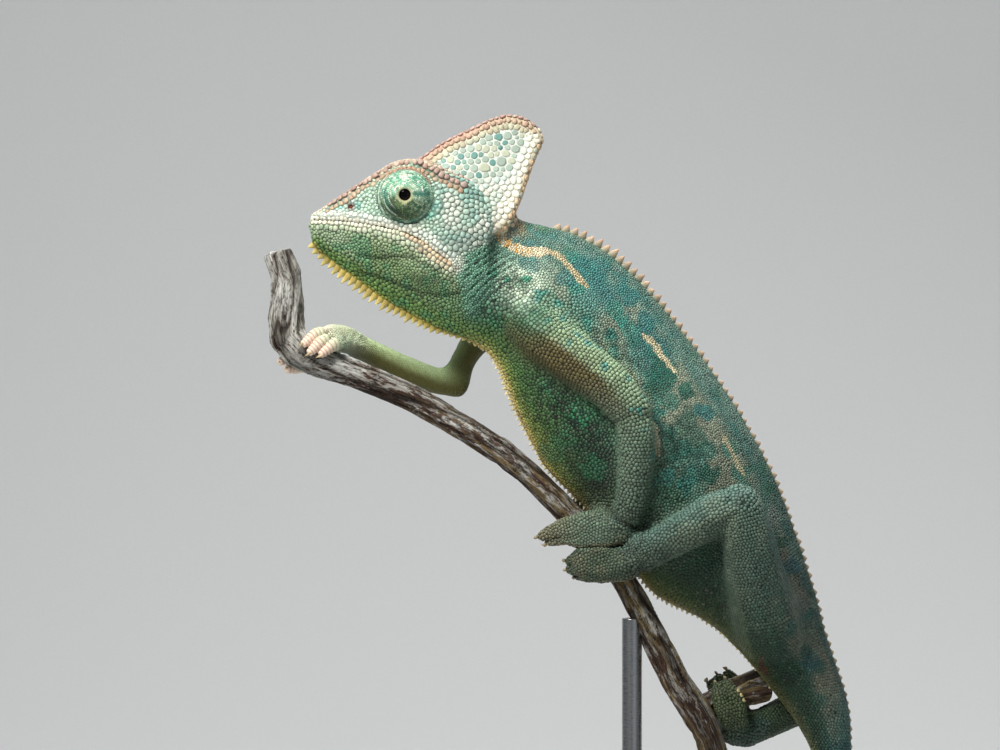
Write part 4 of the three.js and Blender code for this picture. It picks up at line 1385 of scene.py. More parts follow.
@dataclass(frozen=True)
class Markings:
    """The colours of the animal by place. The skin and every scale take theirs from here."""

    def body(self, points: Array) -> Array:
        """The ground colours of neck, trunk and tail, from the belly's edge to the crest.

        Args:
            points: rows of x, y, z in millimetres.

        Returns:
            Rows of linear colour.
        """
        height = rise_of(points) + 0.05 * (cloud(points, 7, 1) - 0.5)
        # From the pale belly edge up to the crest. The dark greens low on the flank are the belly's own colour,
        # deepened partly as painted shade.
        stops = (
            (0.0, "#dccd92"), (0.02, "#c0b064"), (0.05, "#76873f"), (0.12, "#436a35"), (0.26, "#275939"),
            (0.42, "#357357"), (0.56, "#60917e"), (0.7, "#5f958a"), (0.8, "#4a8784"), (0.9, "#4f877e"),
            (1.0, "#648476"),
        )
        tone = stops[0][1]
        for (low, _), (high, code) in zip(stops[:-1], stops[1:]):
            tone = mix(tone, code, ease(low, high, height))
        front = 1 - ease(-24, -10, points[:, 0])
        tone = mix(tone, "#7fae94", 0.75 * front * ease(0.25, 0.5, height) * (1 - ease(0.7, 0.85, height)))
        mint = mint_patch(points)
        mint = mint * ease(0.2, 0.5, cloud(points, 3, 7) + 0.3 * mint)
        tone = mix(tone, "#d8ecd4", 0.97 * np.clip(1.3 * mint, 0, 1))
        # Darker and more teal towards the rear: partly the animal's own colour, partly painted shade.
        rear = ease(30, 62, points[:, 0])
        tone = mix(tone, tone * 0.66 + linear("#3c6f68") * 0.1, rear)

        first, second, number = pebbles(points, 5.2, 31)
        mosaic = ease(0.42, 0.58, height) * (1 - ease(0.84, 0.92, height)) * ease(-14, 0, points[:, 0])
        patch = 1 - ease(0.36, 0.62, first)
        teal = mix(DEEP_TEAL, TURQUOISE, number)
        tone = mix(tone, "#a6ab92", 0.8 * mosaic * ease(0.25, 0.6, cloud(points, 9, 2)))
        tone = mix(tone, teal, 0.75 * mosaic * patch * (number > 0.35))
        low_patch = (1 - ease(0.3, 0.6, first)) * (number > 0.45) * ease(0.12, 0.22, height) * (1 - mosaic)
        tone = mix(tone, "#2c7350", 0.5 * low_patch)

        speckle = ease(0.84, 0.92, height) * (points[:, 0] > -6)
        grey = ease(0.4, 0.6, cloud(points, 2.4, 4))
        tone = mix(tone, "#829f92", 0.5 * speckle * grey)
        nape = bell((points[:, 0] + 16.5) / 4.5, (points[:, 2] - 231) / 3.2)
        tone = mix(tone, "#b39c70", 0.85 * nape * ease(0.3, 0.55, cloud(points, 1.8, 5)))
        tail = ease(58, 66, points[:, 0]) * (1 - ease(104, 122, points[:, 2]))
        band = 0.5 + 0.5 * np.sin(TURN * (points[:, 2] + 3 * cloud(points, 12, 6)) / 19)
        tone = mix(tone, mix("#5f9187", "#3d7a79", ease(0.3, 0.7, band)), tail)
        # A painted shadow of the forearm on the belly beside it.
        deep = bell((points[:, 0] - 4) / 7, (points[:, 2] - 168) / 13) * (1 - ease(0.4, 0.6, height))
        tone = tone * (1 - 0.78 * deep)[:, None]
        return mix(tone, "#8e8f58", 0.65 * (1 - ease(0.05, 0.22, height)) * rear)

    def coil(self, points: Array) -> Array:
        """Soft rings of green and teal round the free tail.

        Args:
            points: rows of x, y, z in millimetres.

        Returns:
            Rows of linear colour.
        """
        turn = np.arctan2(points[:, 2] - 52, points[:, 0] - 56)
        band = 0.5 + 0.5 * np.sin(turn * 9 + 5 * cloud(points, 10, 8))
        ring = mix("#6c9c86", "#3a7873", ease(0.35, 0.7, band))
        return mix(ring, "#a3aa86", 0.4 * ease(0.5, 0.8, cloud(points, 3, 9)))

    def arm(self, points: Array, normals: Array) -> Array:
        """Mint pearls with turquoise rows above and a tan underside, greener on the far arm, with painted light
        on top and painted shade below.

        Args:
            points: rows of x, y, z in millimetres.
            normals: the skin's normal at each place.

        Returns:
            Rows of linear colour.
        """
        # Darker below and lighter on the upper faces by the normal: the tan underside is the arm's own colour,
        # deepened as painted shade, and the tops carry painted light; near the shoulder the painted shade
        # reaches further up.
        shade = 0.3 * (1 - ease(3, 10, points[:, 0]))
        top = ease(-0.5, 0.5, normals[:, 2] + 0.2 * normals[:, 0] + 0.3 * (cloud(points, 3, 42) - 0.5) - shade)
        tone = mix("#574f2b", "#93ae8a", top)
        low = 1 - ease(176, 196, points[:, 2])
        tone = mix(tone, "#6d8a77", 0.8 * low)
        first, _, number = pebbles(points, 3.0, 41)
        teal = (1 - ease(0.3, 0.5, first)) * (number > 0.42) * ease(0.3, 0.7, top)
        tone = mix(tone, "#43918a", 0.8 * teal)
        # The far arm: dark olive below and pale above by the normal, as painted shade and painted light.
        far = (points[:, 1] > 8) | (points[:, 0] < -25)
        pale = mix("#5b5a24", "#b3ca94", ease(-0.4, 0.7, normals[:, 2]))
        return np.where(far[:, None], pale, tone)

    def leg(self, points: Array, normals: Array) -> Array:
        """Grey-green pearls, teal on the upper faces and olive on the inner ones.

        Args:
            points: rows of x, y, z in millimetres.
            normals: the skin's normal at each place.

        Returns:
            Rows of linear colour.
        """
        top = ease(-0.2, 0.6, normals[:, 2])
        tone = mix("#647f6c", "#70978a", top)
        thigh = ease(36, 42, points[:, 0]) * (1 - ease(152, 162, points[:, 2]))
        tone = mix(tone, "#547c6e", 0.7 * thigh)
        front = thigh * ease(0.2, 0.8, -normals[:, 0])
        tone = mix(tone, "#7b8458", 0.75 * front)
        patches = ease(0.5, 0.7, cloud(points, 4, 14))
        tone = mix(tone, "#8fa48b", 0.45 * patches * (1 - front))
        return mix(tone, "#66814f", 0.6 * (points[:, 1] > 6))

    def paw(self, points: Array, normals: Array) -> Array:
        """Pale mint above, cream and peach on the gripping faces.

        Args:
            points: rows of x, y, z in millimetres.
            normals: the skin's normal at each place.

        Returns:
            Rows of linear colour.
        """
        under = ease(0.5, 0.95, -normals[:, 2])
        tone = mix("#86a28a", "#b09a72", 0.7 * under)
        tone = mix(tone, "#ab9c77", 0.6 * (1 - ease(-10, 3, points[:, 0])))
        tone = mix(tone, "#566a4c", 0.7 * (points[:, 2] < 150.5))
        far = (points[:, 0] < -45)
        pink = mix("#ecd6c3", "#c0d0b2", ease(-67, -59, points[:, 0]))
        tone = np.where(far[:, None], pink, tone)
        tips = ease(0.5, 0.7, cloud(points, 2.6, 16))
        tone = mix(tone, "#c3b893", 0.25 * tips)
        return mix(tone, "#6f8354", 0.8 * (points[:, 0] > 25))

    def head(self, points: Array) -> Array:
        """Snout, cheek and lips of the upper head.

        Args:
            points: rows of x, y, z in millimetres.

        Returns:
            Rows of linear colour.
        """
        x, _, z = points.T
        tone = mix("#a7c3b0", "#6fae9c", ease(0.5, 0.68, cloud(points, 2.2, 28)))
        cheek = ease(-38, -33, x) * (1 - ease(242, 245, z))
        clump = cloud(points, 3.4, 21)
        tone = mix(tone, "#c3d0c2", 0.85 * cheek)
        low = (1 - above_jaw(points)) * ease(-37, -33, x)
        tone = mix(tone, "#5f9a80", 0.9 * low)
        mouth, _ = to_line(points, MOUTH_LINE)
        lip = 1 - ease(2.0, 3.2 + 1.2 * ease(-50, -36, x), mouth)
        tone = mix(tone, "#d6ddd0", 0.85 * lip)
        top = ease(-0.4, 1.2, z - np.interp(x, [-66, -57, -47, -42, -30], [233.6, 238.2, 244.4, 246, 241.8]))
        tone = mix(tone, "#d9bfa6", 0.9 * top)
        corner = bell((x + 33) / 2.2, (z - 221) / 1.6)
        tone = mix(tone, "#cfa77c", 0.6 * corner * ease(0.4, 0.6, cloud(points, 1.4, 23)))
        slit = bell(mouth / 0.22)
        tone = mix(tone, "#a98f66", 0.8 * slit)
        teal = bell((x + 34) / 3.4, (z - 235.6) / 1.5)
        tone = mix(tone, "#4fa79f", 0.8 * teal * ease(0.3, 0.5, clump))
        bump = bell(np.hypot(x + 57, z - 235.5) / 2.0)
        tone = mix(tone, "#a9c2c0", 0.7 * bump)
        nostril = bell(np.hypot((x + 57) * 0.85, z - 235.5) / 0.75)
        return mix(tone, "#7a3a26", np.clip(1.3 * nostril, 0, 1))

    def casque(self, points: Array) -> Array:
        """White network and cream bumps, warmer along the rims.

        Args:
            points: rows of x, y, z in millimetres.

        Returns:
            Rows of linear colour.
        """
        x, _, z = points.T
        plates = ease(241, 246, z - 0.1 * x)
        tone = mix("#cfd1c4", "#dde3dc", plates)
        tone = mix(tone, "#a9c9bd", 0.4 * (1 - plates) * ease(0.55, 0.7, cloud(points, 3, 24)))
        top, along = to_line(points, CASQUE_TOP)
        rim = 1 - ease(1.6, 4.2, top)
        tone = mix(tone, "#dcc9a6", 0.9 * rim * ease(-0.2, 0.6, along / 34 + 0.3))
        edge = 1 - ease(1.0, 2.4, top)
        tone = mix(tone, "#d6a994", 0.9 * edge * (1 - ease(14, 30, along)))
        rear, _ = to_line(points, CASQUE_REAR)
        tone = mix(tone, "#e8dfc4", 0.85 * (1 - ease(1.2, 2.6, rear)))
        return mix(tone, "#d29b5f", 0.6 * (1 - ease(0.2, 0.7, rear)) * (z < 252))

    def jaw(self, points: Array) -> Array:
        """Pale pearls along the mouth, green lower down, yellow towards the gular crest, and painted shade in
        the folds.

        Args:
            points: rows of x, y, z in millimetres.

        Returns:
            Rows of linear colour.
        """
        x = points[:, 0]
        down = way_across(points, MOUTH_LINE, CHIN_LINE)
        tone = mix("#d9dcc6", "#899f79", ease(0.06, 0.24, down))
        tone = mix(tone, "#6e895d", ease(0.26, 0.5, down))
        tone = mix(tone, "#668a49", ease(0.6, 0.85, down))
        front = (1 - ease(-61, -50, x)) * (1 - ease(0.5, 0.8, down)) * ease(0.1, 0.25, down)
        tone = mix(tone, "#98ae90", 0.75 * front)
        tone = mix(tone, "#a39b45", ease(0.9, 0.99, down))
        middle = ease(0.3, 0.5, down) * (1 - ease(0.6, 0.8, down))
        tone = mix(tone, "#5f8c62", 0.5 * ease(-44, -30, x) * middle)
        tone = mix(tone, "#438a62", 0.5 * ease(0.55, 0.7, cloud(points, 2.4, 25)) * ease(0.1, 0.3, down))
        tone = mix(tone, "#a98f66", 0.8 * bell(to_line(points, MOUTH_LINE)[0] / 0.22))
        # Painted shade along the jaw folds.
        for line, wide, _ in JAW_FOLDS:
            tone = tone * (1 - 0.4 * bell(to_line(points, line)[0] / (1.2 * wide)))[:, None]
        return tone

    def eye(self, points: Array) -> Array:
        """The lids: a pale glow round the pupil, mint above, dark olive below that is partly painted shade, a
        teal band behind, and painted shade in the creases.

        Args:
            points: rows of x, y, z in millimetres.

        Returns:
            Rows of linear colour.
        """
        across, up = points[:, 0] - EYE.x, points[:, 2] - EYE.z
        radius, turn = np.hypot(across, up), np.arctan2(up, across)

        def around(middle: float, half: float) -> Array:
            """How near each place is to a direction from the pupil."""
            return bell(np.angle(np.exp(1j * (turn - middle))) / half)

        tone = mix("#8fc6a8", "#d9ecd4", ease(0.42, 0.56, cloud(points, 0.6, 29)))
        tone = mix(tone, "#3f967a", 0.75 * ease(0.56, 0.64, cloud(points, 0.85, 30)))
        # The lower half dark olive: partly the lids' own colour, partly painted shade.
        lower = ease(0.0, 0.55, -np.sin(turn + 0.2)) * ease(1.5, 2.3, radius)
        olive = mix("#2f4e2a", "#6d8048", ease(0.44, 0.6, cloud(points, 0.5, 31)))
        tone = mix(tone, olive, 0.88 * lower)
        hind = around(-0.6, 0.5) * ease(2.2, 3.4, radius)
        speck = mix("#3c7458", "#b4c9a8", ease(0.42, 0.58, cloud(points, 0.5, 32)))
        tone = mix(tone, speck, 0.8 * hind)
        tone = mix(tone, "#12301f", 0.9 * around(-2.1, 0.65) * bell((radius - 4.6) / 1.0))
        band = bell((up - 0.25) / (0.3 + 0.08 * np.abs(across))) * ease(1.5, 2.0, across) * (radius < 6.6)
        tone = mix(tone, "#1f7264", 0.85 * band)
        front = around(3.3, 0.45) * bell((radius - 4.9) / 0.7)
        tone = mix(tone, "#27826f", 0.75 * front)
        outer = ease(5.8, 6.4, radius)
        rims = mix("#5d9f86", "#b9d5bd", ease(0.4, 0.6, cloud(points, 1.3, 27)))
        tone = mix(tone, rims, 0.8 * outer)
        brow = ease(6.3, 6.6, radius) * ease(0.4, 0.65, np.sin(turn + 0.1))
        tone = mix(tone, "#a8846e", 0.92 * brow)
        groove, fold = turret_creases(points)
        tone = mix(tone, "#d6eadc", 0.55 * fold * around(3.7, 1.0))
        # Painted shade in the creases round the turret, strongest in front.
        tone = tone * (1 - 0.7 * groove * (0.35 + 0.65 * around(3.3, 1.3)))[:, None]
        ragged = radius + 0.9 * (cloud(points, 0.5, 33) - 0.5)
        glow = (1 - ease(1.75, 2.5, ragged)) * (0.55 + 0.4 * np.clip(0.3 - np.sin(turn - 0.5), 0, 1))
        return mix(tone, "#d9dca6", glow)

    def tone(self, points: Array, normals: Array, shares: Array) -> Array:
        """The colour at each place, with painted shade in the cracks and creases and low down behind the head.

        Args:
            points: rows of x, y, z in millimetres.
            normals: the skin's normal at each place.
            shares: how much of each place belongs to each Part.

        Returns:
            Rows of linear colour.
        """
        body = self.body(points)
        laid = body.copy()
        for spot in SPOTS:
            laid = spot.lay(laid, points)
        for streak in STREAKS:
            laid = streak.lay(laid, points)
        paw = self.paw(points, normals)
        painted = {
            Part.HEAD: self.head(points),
            Part.CASQUE: self.casque(points),
            Part.JAW: self.jaw(points),
            Part.EYE: self.eye(points),
            Part.BODY: laid,
            Part.TAIL: mix(body, self.coil(points), 1 - ease(76, 92, points[:, 2])),
            Part.ARM: self.arm(points, normals),
            Part.LEG: self.leg(points, normals),
            Part.HAND: paw,
            Part.FOOT: paw,
        }
        tone = sum(paint * shares[:, kind.value : kind.value + 1] for kind, paint in painted.items())
        # Painted shade in the cracks between the cobbles of scales.
        tone = tone * (1 - 0.82 * cracks(points) * share_of(shares, Part.BODY))[:, None]
        limbs = share_of(shares, Part.ARM, Part.LEG, Part.HAND, Part.FOOT)
        # Darker low down behind the head: partly the animal's darker lower colours, partly painted shade.
        low = 1 - 0.6 * (1 - ease(135, 200, points[:, 2])) * ease(-55, -20, points[:, 0])
        # Painted shade in the neck's wrinkles and the folds of the near wrist and ankle.
        crease_shade = (1 - 0.72 * neck_creases(points)) * (1 - 0.6 * paw_folds(points) * limbs)
        return tone * (crease_shade * low)[:, None]


# ------------------------------------------------------------------ finishes
@dataclass(frozen=True)
class LizardSkin:
    """The soft folds between the scales: matt, finely wrinkled, with painted shade in the depths of the
    wrinkles.
    """

    wrinkle: float = 0.35  # mm between the finest creases
    roughness: float = 0.62

    def make(self) -> bpy.types.Material:
        """Builds the finish from the markings stored on the skin.

        Returns:
            The material.
        """
        recipe = Recipe("matt_lizard_skin")
        grain = recipe.noise(1 / (self.wrinkle * MM), 3.0, 0.6)
        # The grain darkens its own hollows: painted shade.
        colour = recipe.shade(recipe.read("tone", "Color"), recipe.span(grain, (0.3, 0.7), (0.7, 1.0)))
        recipe.bump(grain, 0.12, 0.7)
        return recipe.finish({"Base Color": colour, "Roughness": self.roughness, "Specular IOR Level": 0.35})


@dataclass(frozen=True)
class PearlScale:
    """Horny scales: satin domes that catch a small soft highlight, with a fine grain and seams darkened as
    painted shade.
    """

    grain: float = 0.22  # mm between the specks of the grain
    roughness: float = 0.5
    seam: float = 0.82  # how dark painted shade makes the foot of a scale

    def make(self) -> bpy.types.Material:
        """Builds the finish from the tone and rise stored on the scales.

        Returns:
            The material.
        """
        recipe = Recipe("satin_pearl_scale")
        specks = recipe.noise(1 / (self.grain * MM))
        # The foot of each scale darkened: painted shade between the scales.
        seam = recipe.span(recipe.read("rise"), (0.05, 0.8), (self.seam, 1.0), "SMOOTHSTEP")
        shade = recipe.times(seam, recipe.span(specks, (0.3, 0.7), (0.84, 1.08)))
        colour = recipe.shade(recipe.read("tone", "Color"), shade)
        rough = recipe.span(specks, end=(self.roughness - 0.08, self.roughness + 0.12))
        recipe.bump(specks, 0.05, 0.5)
        return recipe.finish({"Base Color": colour, "Roughness": rough, "Specular IOR Level": 0.5})


# ------------------------------------------------------------------ the coat of scales
@dataclass(frozen=True)
class BeadRow:
    """A row of larger beads along a ridge or a lip of the head, on both sides."""

    line: Line
    pitch: float
    size: float
    height: float  # over its half width
    toward: tuple[float, float]  # the side of the line, x and z, that it is set off to
    off: float
    tops: tuple[str, str]  # the colours between which its beads vary
    own: float  # how much of that colour covers the markings
    reach: float = 30.0  # how far out to the side its places are taken before they meet the skin

    def places(self) -> Array:
        """Places beside the skin, the left side's first.

        Returns:
            Rows of x, y, z, still out to the side of the skin.
        """
        flat = along_line(self.line, self.pitch, 0.3)
        run = unit(np.gradient(flat, axis=0))
        out = np.stack([-run[:, 1], run[:, 0]], 1)
        out *= np.sign((out * (np.array(self.toward) - flat)).sum(1, keepdims=True))
        flat = flat + out * self.off
        return np.vstack([np.insert(flat, 1, side * self.reach, axis=1) for side in (-1, 1)])


ABOVE, BELOW, CASQUE_HEART = (-50.0, 290.0), (-50.0, 190.0), (-24.0, 243.0)
BEADS = (
    BeadRow(BROW_LINE, 1.45, 1.85, 0.6, BELOW, 0.0, ("#9c7d72", "#b39c90"), 0.94),
    BeadRow(BROW_LINE[1:], 1.35, 1.6, 0.5, ABOVE, 1.4, ("#a18679", "#b09e8e"), 0.9),
    BeadRow(BROW_LINE, 1.3, 1.5, 0.45, BELOW, 1.45, ("#b08a70", "#b49a7e"), 0.88),
    BeadRow(MOUTH_LINE[5:], 1.1, 1.3, 0.55, BELOW, 0.5, ("#c9a886", "#d8c6a8"), 0.85),
    BeadRow(MOUTH_LINE[6:], 1.2, 1.35, 0.5, BELOW, 1.7, ("#cfb797", "#c3c4a4"), 0.8),
    BeadRow(MOUTH_LINE[1:], 1.05, 1.25, 0.42, ABOVE, 0.5, ("#ece6d2", "#dfe3d6"), 0.85),
    BeadRow(MOUTH_LINE[2:], 1.2, 1.35, 0.42, ABOVE, 1.75, ("#e2e6da", "#bcd0c8"), 0.65),
    BeadRow(MOUTH_LINE[1:6], 1.0, 1.2, 0.45, BELOW, 0.5, ("#e6e2ca", "#ccd8be"), 0.85),
    BeadRow(MOUTH_LINE[1:7], 1.25, 1.4, 0.5, BELOW, 1.75, ("#d6dcc4", "#a9c4a2"), 0.7),
    BeadRow(CASQUE_TOP, 1.6, 1.9, 0.6, CASQUE_HEART, 0.0, ("#a98579", "#bca093"), 0.95, 0.75),
    BeadRow(CASQUE_TOP, 1.65, 1.85, 0.55, CASQUE_HEART, 1.6, ("#ac8b79", "#b19d85"), 0.9),
    BeadRow(CASQUE_TOP, 1.85, 1.95, 0.38, CASQUE_HEART, 3.2, ("#a79a78", "#a1ab8f"), 0.8),
    BeadRow(CASQUE_REAR, 1.5, 1.7, 0.5, CASQUE_HEART, 0.0, ("#d6bd98", "#ddd3ba"), 0.9, 0.75),
    BeadRow(CASQUE_REAR, 1.6, 1.75, 0.42, CASQUE_HEART, 1.6, ("#e2dac6", "#d8ddd0"), 0.85),
    BeadRow(CASQUE_REAR, 1.75, 1.85, 0.34, CASQUE_HEART, 3.2, ("#e4e1d2", "#cddace"), 0.75),
)
# How much lighter the skin between the scales is on some parts than on the body, where it is darkened as
# painted shade.
BARENESS = {Part.CASQUE: 0.6, Part.HEAD: 0.25, Part.EYE: 0.3}
PLATE = 1.85  # mm from plate to plate in the middle of the casque
GRANULE = 0.47  # mm across the granules that ring the eyes
TEAL_ARC: Line = ((-36.2, 237.6), (-34, 240.8), (-30.5, 241.4), (-27, 239.6), (-25.2, 236.4))


@dataclass
class Coat:
    """Every scale of the animal as a small dome, fitted to its neighbours, over the skin."""

    skin: Skin
    markings: Markings
    seed: int = 20
    rounds: int = 4  # how often the scales settle against each other
    gap: float = 0.985  # a scale's size over its room

    def build(self) -> list[Piece]:
        """Places, settles and raises the scales.

        Returns:
            One object for each stretch of the coat.
        """
        surface = self.skin.surface
        self.tree = surface.tree()
        self.shares = self.skin.shares()
        self.pitch = self.pitch_field()
        places, faces, sizes, wobble = self.scatter()
        LOG.info("%d scales, %d of them beads of the head", len(places), len(sizes))
        places, faces = self.settle(places, faces, wobble, len(sizes))
        return self.raise_domes(places, faces, sizes, wobble)

    def pitch_at(self, faces: Array) -> Array:
        """The spacing of the scales on triangles of the skin."""
        return self.pitch[self.skin.surface.triangles[faces]].mean(1)

    def pitch_field(self) -> Array:
        """The spacing of the scales at each vertex of the skin, in millimetres.

        Returns:
            A spacing for each vertex.
        """
        skin, surface = self.skin, self.skin.surface
        x, y, z = surface.points.T
        rise = rise_of(surface.points)
        body = np.interp(rise, [0, 0.08, 0.3, 0.48, 0.7, 1], [0.7, 0.86, 0.86, 0.7, 0.6, 0.56])
        pitch = body + 0.12 * ease(40, 56, x) * (rise > 0.3)
        for names, size in (
            (("head",), 0.95),
            (("casque",), 1.5),
            (("eye",), 0.46),
            (("neck",), 0.6),
            (("upper_arm",), 0.98),
            (("forearm",), 0.96),
            (("thigh",), 0.84),
            (("shank",), 0.96),
            (("hand", "foot"), 0.86),
            (("tail_base", "tail_upper"), 0.84),
            (("tail_coil_1", "tail_coil_2"), 0.8),
            (("tail_coil_3", "tail_tip"), 0.66),
        ):
            pitch = np.where(skin.is_in(*names) > 0, size, pitch)
        down = way_across(surface.points, MOUTH_LINE, CHIN_LINE)
        jaw = np.interp(down, [0, 0.12, 0.28, 0.5, 0.66, 0.8, 1], [1.3, 1.25, 0.8, 0.68, 0.95, 1.12, 1.0])
        pitch = np.where(skin.is_in("lower_jaw") > 0, jaw, pitch)
        throat = (skin.is_in("neck") > 0) & (z < 216)
        pitch = np.where(throat, 0.6 + 0.45 * ease(0, 6, 216 - z), pitch)
        head = skin.is_in("head") > 0
        pitch = np.where(head & (x < -50), 0.95, pitch)
        corner = above_jaw(surface.points)
        cheek = head * ease(-37, -33, x) * (1 - ease(244, 247, z)) * corner
        pitch = pitch + cheek * (1.36 - pitch)
        pitch = np.where(head & (x > -36) & (corner < 0.5), 0.6, pitch)
        pitch = pitch + self.plate_share(surface.points) * (skin.is_in("casque") > 0) * (PLATE - pitch)
        inner = skin.is_in("upper_arm", "forearm", "thigh", "shank") > 0
        inner &= surface.normals[:, 1] * np.sign(y) < -0.2
        pitch = np.where(inner, pitch * 0.85, pitch)
        far_arm = skin.is_in("forearm_right", "upper_arm_right", "hand_outer_right", "hand_inner_right") > 0
        pitch = np.where(far_arm, 0.52, pitch)
        folds = paw_folds(surface.points) > 0.15
        pitch = np.where(folds & (skin.is_in("hand", "foot", "forearm", "shank") > 0), 0.7, pitch)
        body = skin.is_in("neck", "chest", "trunk", "pelvis")
        shoulder = bell((x + 8) / 9, (z - 208) / 7) * body
        pitch = pitch + 0.34 * shoulder
        return surface.soften(pitch, 3)

    def plate_share(self, points: Array) -> Array:
        """Where the casque carries its large flat plates.

        Args:
            points: rows of x, y, z in millimetres.

        Returns:
            A share for each point.
        """
        x, _, z = points.T
        edge = np.minimum(to_line(points, CASQUE_TOP)[0], to_line(points, CASQUE_REAR)[0] + 0.5)
        return ease(240.6, 242.6, z - 0.3 * (x + 25)) * ease(3.4, 4.2, edge)

    def honeycomb(self) -> Array:
        """Places for the casque's flat plates, in an uneven honeycomb on both sides.

        Returns:
            Rows of x, y, z, still out to the side of the skin.
        """
        generator = np.random.default_rng(self.seed + 2)
        pitch = PLATE
        columns, lines = np.meshgrid(np.arange(-42, -8, pitch), np.arange(234, 264, 0.866 * pitch))
        columns = columns + (np.arange(len(lines)) % 2)[:, None] * pitch / 2
        flat = np.stack([columns.ravel(), np.full(columns.size, 30.0), lines.ravel()], axis=1)
        flat[:, ::2] += generator.normal(0, 0.2, (len(flat), 2))
        flat = flat[self.plate_share(flat) > 0.5]
        return np.vstack([flat, flat * [1, -1, 1]])

    def turret_rings(self) -> Array:
        """Rings of granules round both eyes.

        Returns:
            Rows of x, y, z, still out to the side of the skin.
        """
        rings = []
        for side in (-1, 1):
            for ring in np.arange(2.8, 6.9, 0.42):
                count = int(TURN * ring / 0.46)
                turn = TURN * (np.arange(count) + (ring * 3.7) % 1) / count
                out = np.full(count, side * 30.0)
                rings.append(np.stack([EYE.x + ring * np.cos(turn), out, EYE.z + ring * np.sin(turn)], 1))
        return np.vstack(rings)

    def on_skin(self, wanted: Array) -> tuple[Array, Array]:
        """Sets places on the skin: from the side where they are far out, or else to the nearest point.

        Args:
            wanted: rows of x, y, z.

        Returns:
            The places, and the triangles that they lie on.
        """
        places, faces = [], []
        for x, y, z in wanted.tolist():
            hit = None
            if abs(y) > 20:
                hit = self.tree.ray_cast(Vector((x, y, z)), Vector((0, -math.copysign(1, y), 0)), 32)
            if hit is None or hit[0] is None:
                hit = self.tree.find_nearest(Vector((x, math.copysign(min(abs(y), 0.8), y), z)))
            places.append(hit[0][:])
            faces.append(hit[2])
        return np.array(places), np.array(faces)

    def courses(self) -> list[Course]:
        """The stretches whose scales stand in rings.

        Returns:
            For each: the nodes it covers, the middles of its rings, and the way each ring starts.
        """
        backs = np.array([(-24, 235.5), *BACK_LINE], float)
        bellies = np.array([(-33.5, 206.5), *BELLY_LINE], float)
        found = [self.fan(("pelvis", "tail_base", "tail_upper"), backs, bellies)]
        turns = np.linspace(0.0, 1.76, 60)
        reach = 17.5 - 14.3 * turns / 1.8
        coil = [
            (COIL_CENTRE[0] + r * math.cos(TURN * t), 0.0, COIL_CENTRE[1] - r * math.sin(TURN * t))
            for r, t in zip(reach, turns)
        ]
        found.append(self.tube(("tail_coil", "tail_tip", "tail_upper"), ((69.0, 0, 76.0), (72, 0, 66), *coil)))
        for name, line in LIMB_LINES.items():
            side = name.split("_")[1]
            nodes = ("upper_arm_", "forearm_") if name.startswith("arm") else ("thigh_", "shank_")
            found.append(self.tube(tuple(each + side for each in nodes), line))
        for name, toes in TOES.items():
            found.extend(self.tube((name,), tuple(corner[:3] for corner in toe)) for toe in toes)
        return found

    def fan(self, names: tuple[str, ...], tops: Array, bottoms: Array) -> Course:
        """Rings in planes that fan from one line in the side view to another.

        Args:
            names: the starts of the names of the nodes that it covers.
            tops: corners of the upper line, x and z.
            bottoms: as many corners of the lower line.

        Returns:
            The course.
        """
        pairs = along_line(tuple(map(tuple, np.hstack([tops, bottoms]))), 0.1)
        tops, bottoms = pairs[:, :2], pairs[:, 2:]
        middle, start = (tops + bottoms) / 2, unit(tops - bottoms)
        return names, *(np.insert(flat, 1, 0, axis=1) for flat in (middle, start))

    def tube(self, names: tuple[str, ...], line: tuple) -> Course:
        """Rings square to a line in space, each starting on its upper side.

        Args:
            names: the starts of the names of the nodes that it covers.
            line: the line's corners.

        Returns:
            The course.
        """
        middle = along_line(line, 0.1)
        run = np.gradient(middle, axis=0)
        for _ in range(20):
            run[1:-1] = (run[:-2] + run[1:-1] + run[2:]) / 3
        run = unit(run)
        start = np.cross(run, np.tile([0.0, 1.0, 0.0], (len(run), 1)))
        return names, middle, unit(start)

    def rings(self, names: tuple[str, ...], middle: Array, start: Array) -> tuple[Array, Array]:
        """Walks along a course and sets out one ring of scales after another.

        Args:
            names: the starts of the names of the nodes it covers.
            middle: the ring's middle at each step of the course.
            start: the direction in which the ring starts.

        Returns:
            Places and the triangles that they lie on.
        """
        surface = self.skin.surface
        wanted = self.skin.is_in(*names)[surface.triangles[:, 0]] > 0
        size_of = self.pitch[surface.triangles[:, 0]]
        arc = np.concatenate([[0], np.cumsum(np.linalg.norm(np.diff(middle, axis=0), axis=1))])
        turns = np.linspace(0, math.pi, 60)
        places, faces = [], []
        travelled, odd = 0.0, 0
        while travelled < arc[-1]:
            at = min(int(np.searchsorted(arc, travelled)), len(arc) - 1)
            centre = Vector(middle[at])
            run = middle[min(at + 4, len(middle) - 1)] - middle[max(at - 4, 0)]
            flat = not names[0].startswith(("upper", "thigh", "hand", "foot"))
            across = np.array([0.0, 1.0, 0.0]) if flat else np.cross(start[at], run)
            across = across / max(np.linalg.norm(across), 1e-9)
            sizes = []
            for side in (1, -1):
                spots, allowed, counted, number = [], [], [], []
                last, gap, total = None, 0.5, 0.0
                for turn in turns:
                    ahead = Vector(start[at] * math.cos(turn) + across * (side * math.sin(turn)))
                    spot, _, face, _ = self.tree.ray_cast(centre, ahead, 30)
                    if spot is None:
                        continue
                    ok = bool(wanted[face])
                    if last is not None:
                        gap = min((spot - last).length, 1.6 * gap + 0.1)
                        total += gap / size_of[face]
                    last = spot
                    spots.append(spot[:])
                    allowed.append(ok)
                    counted.append(total)
                    number.append(face)
                    if ok:
                        sizes.append(size_of[face])
                if len(spots) < 3:
                    continue
                spots_array = np.array(spots)
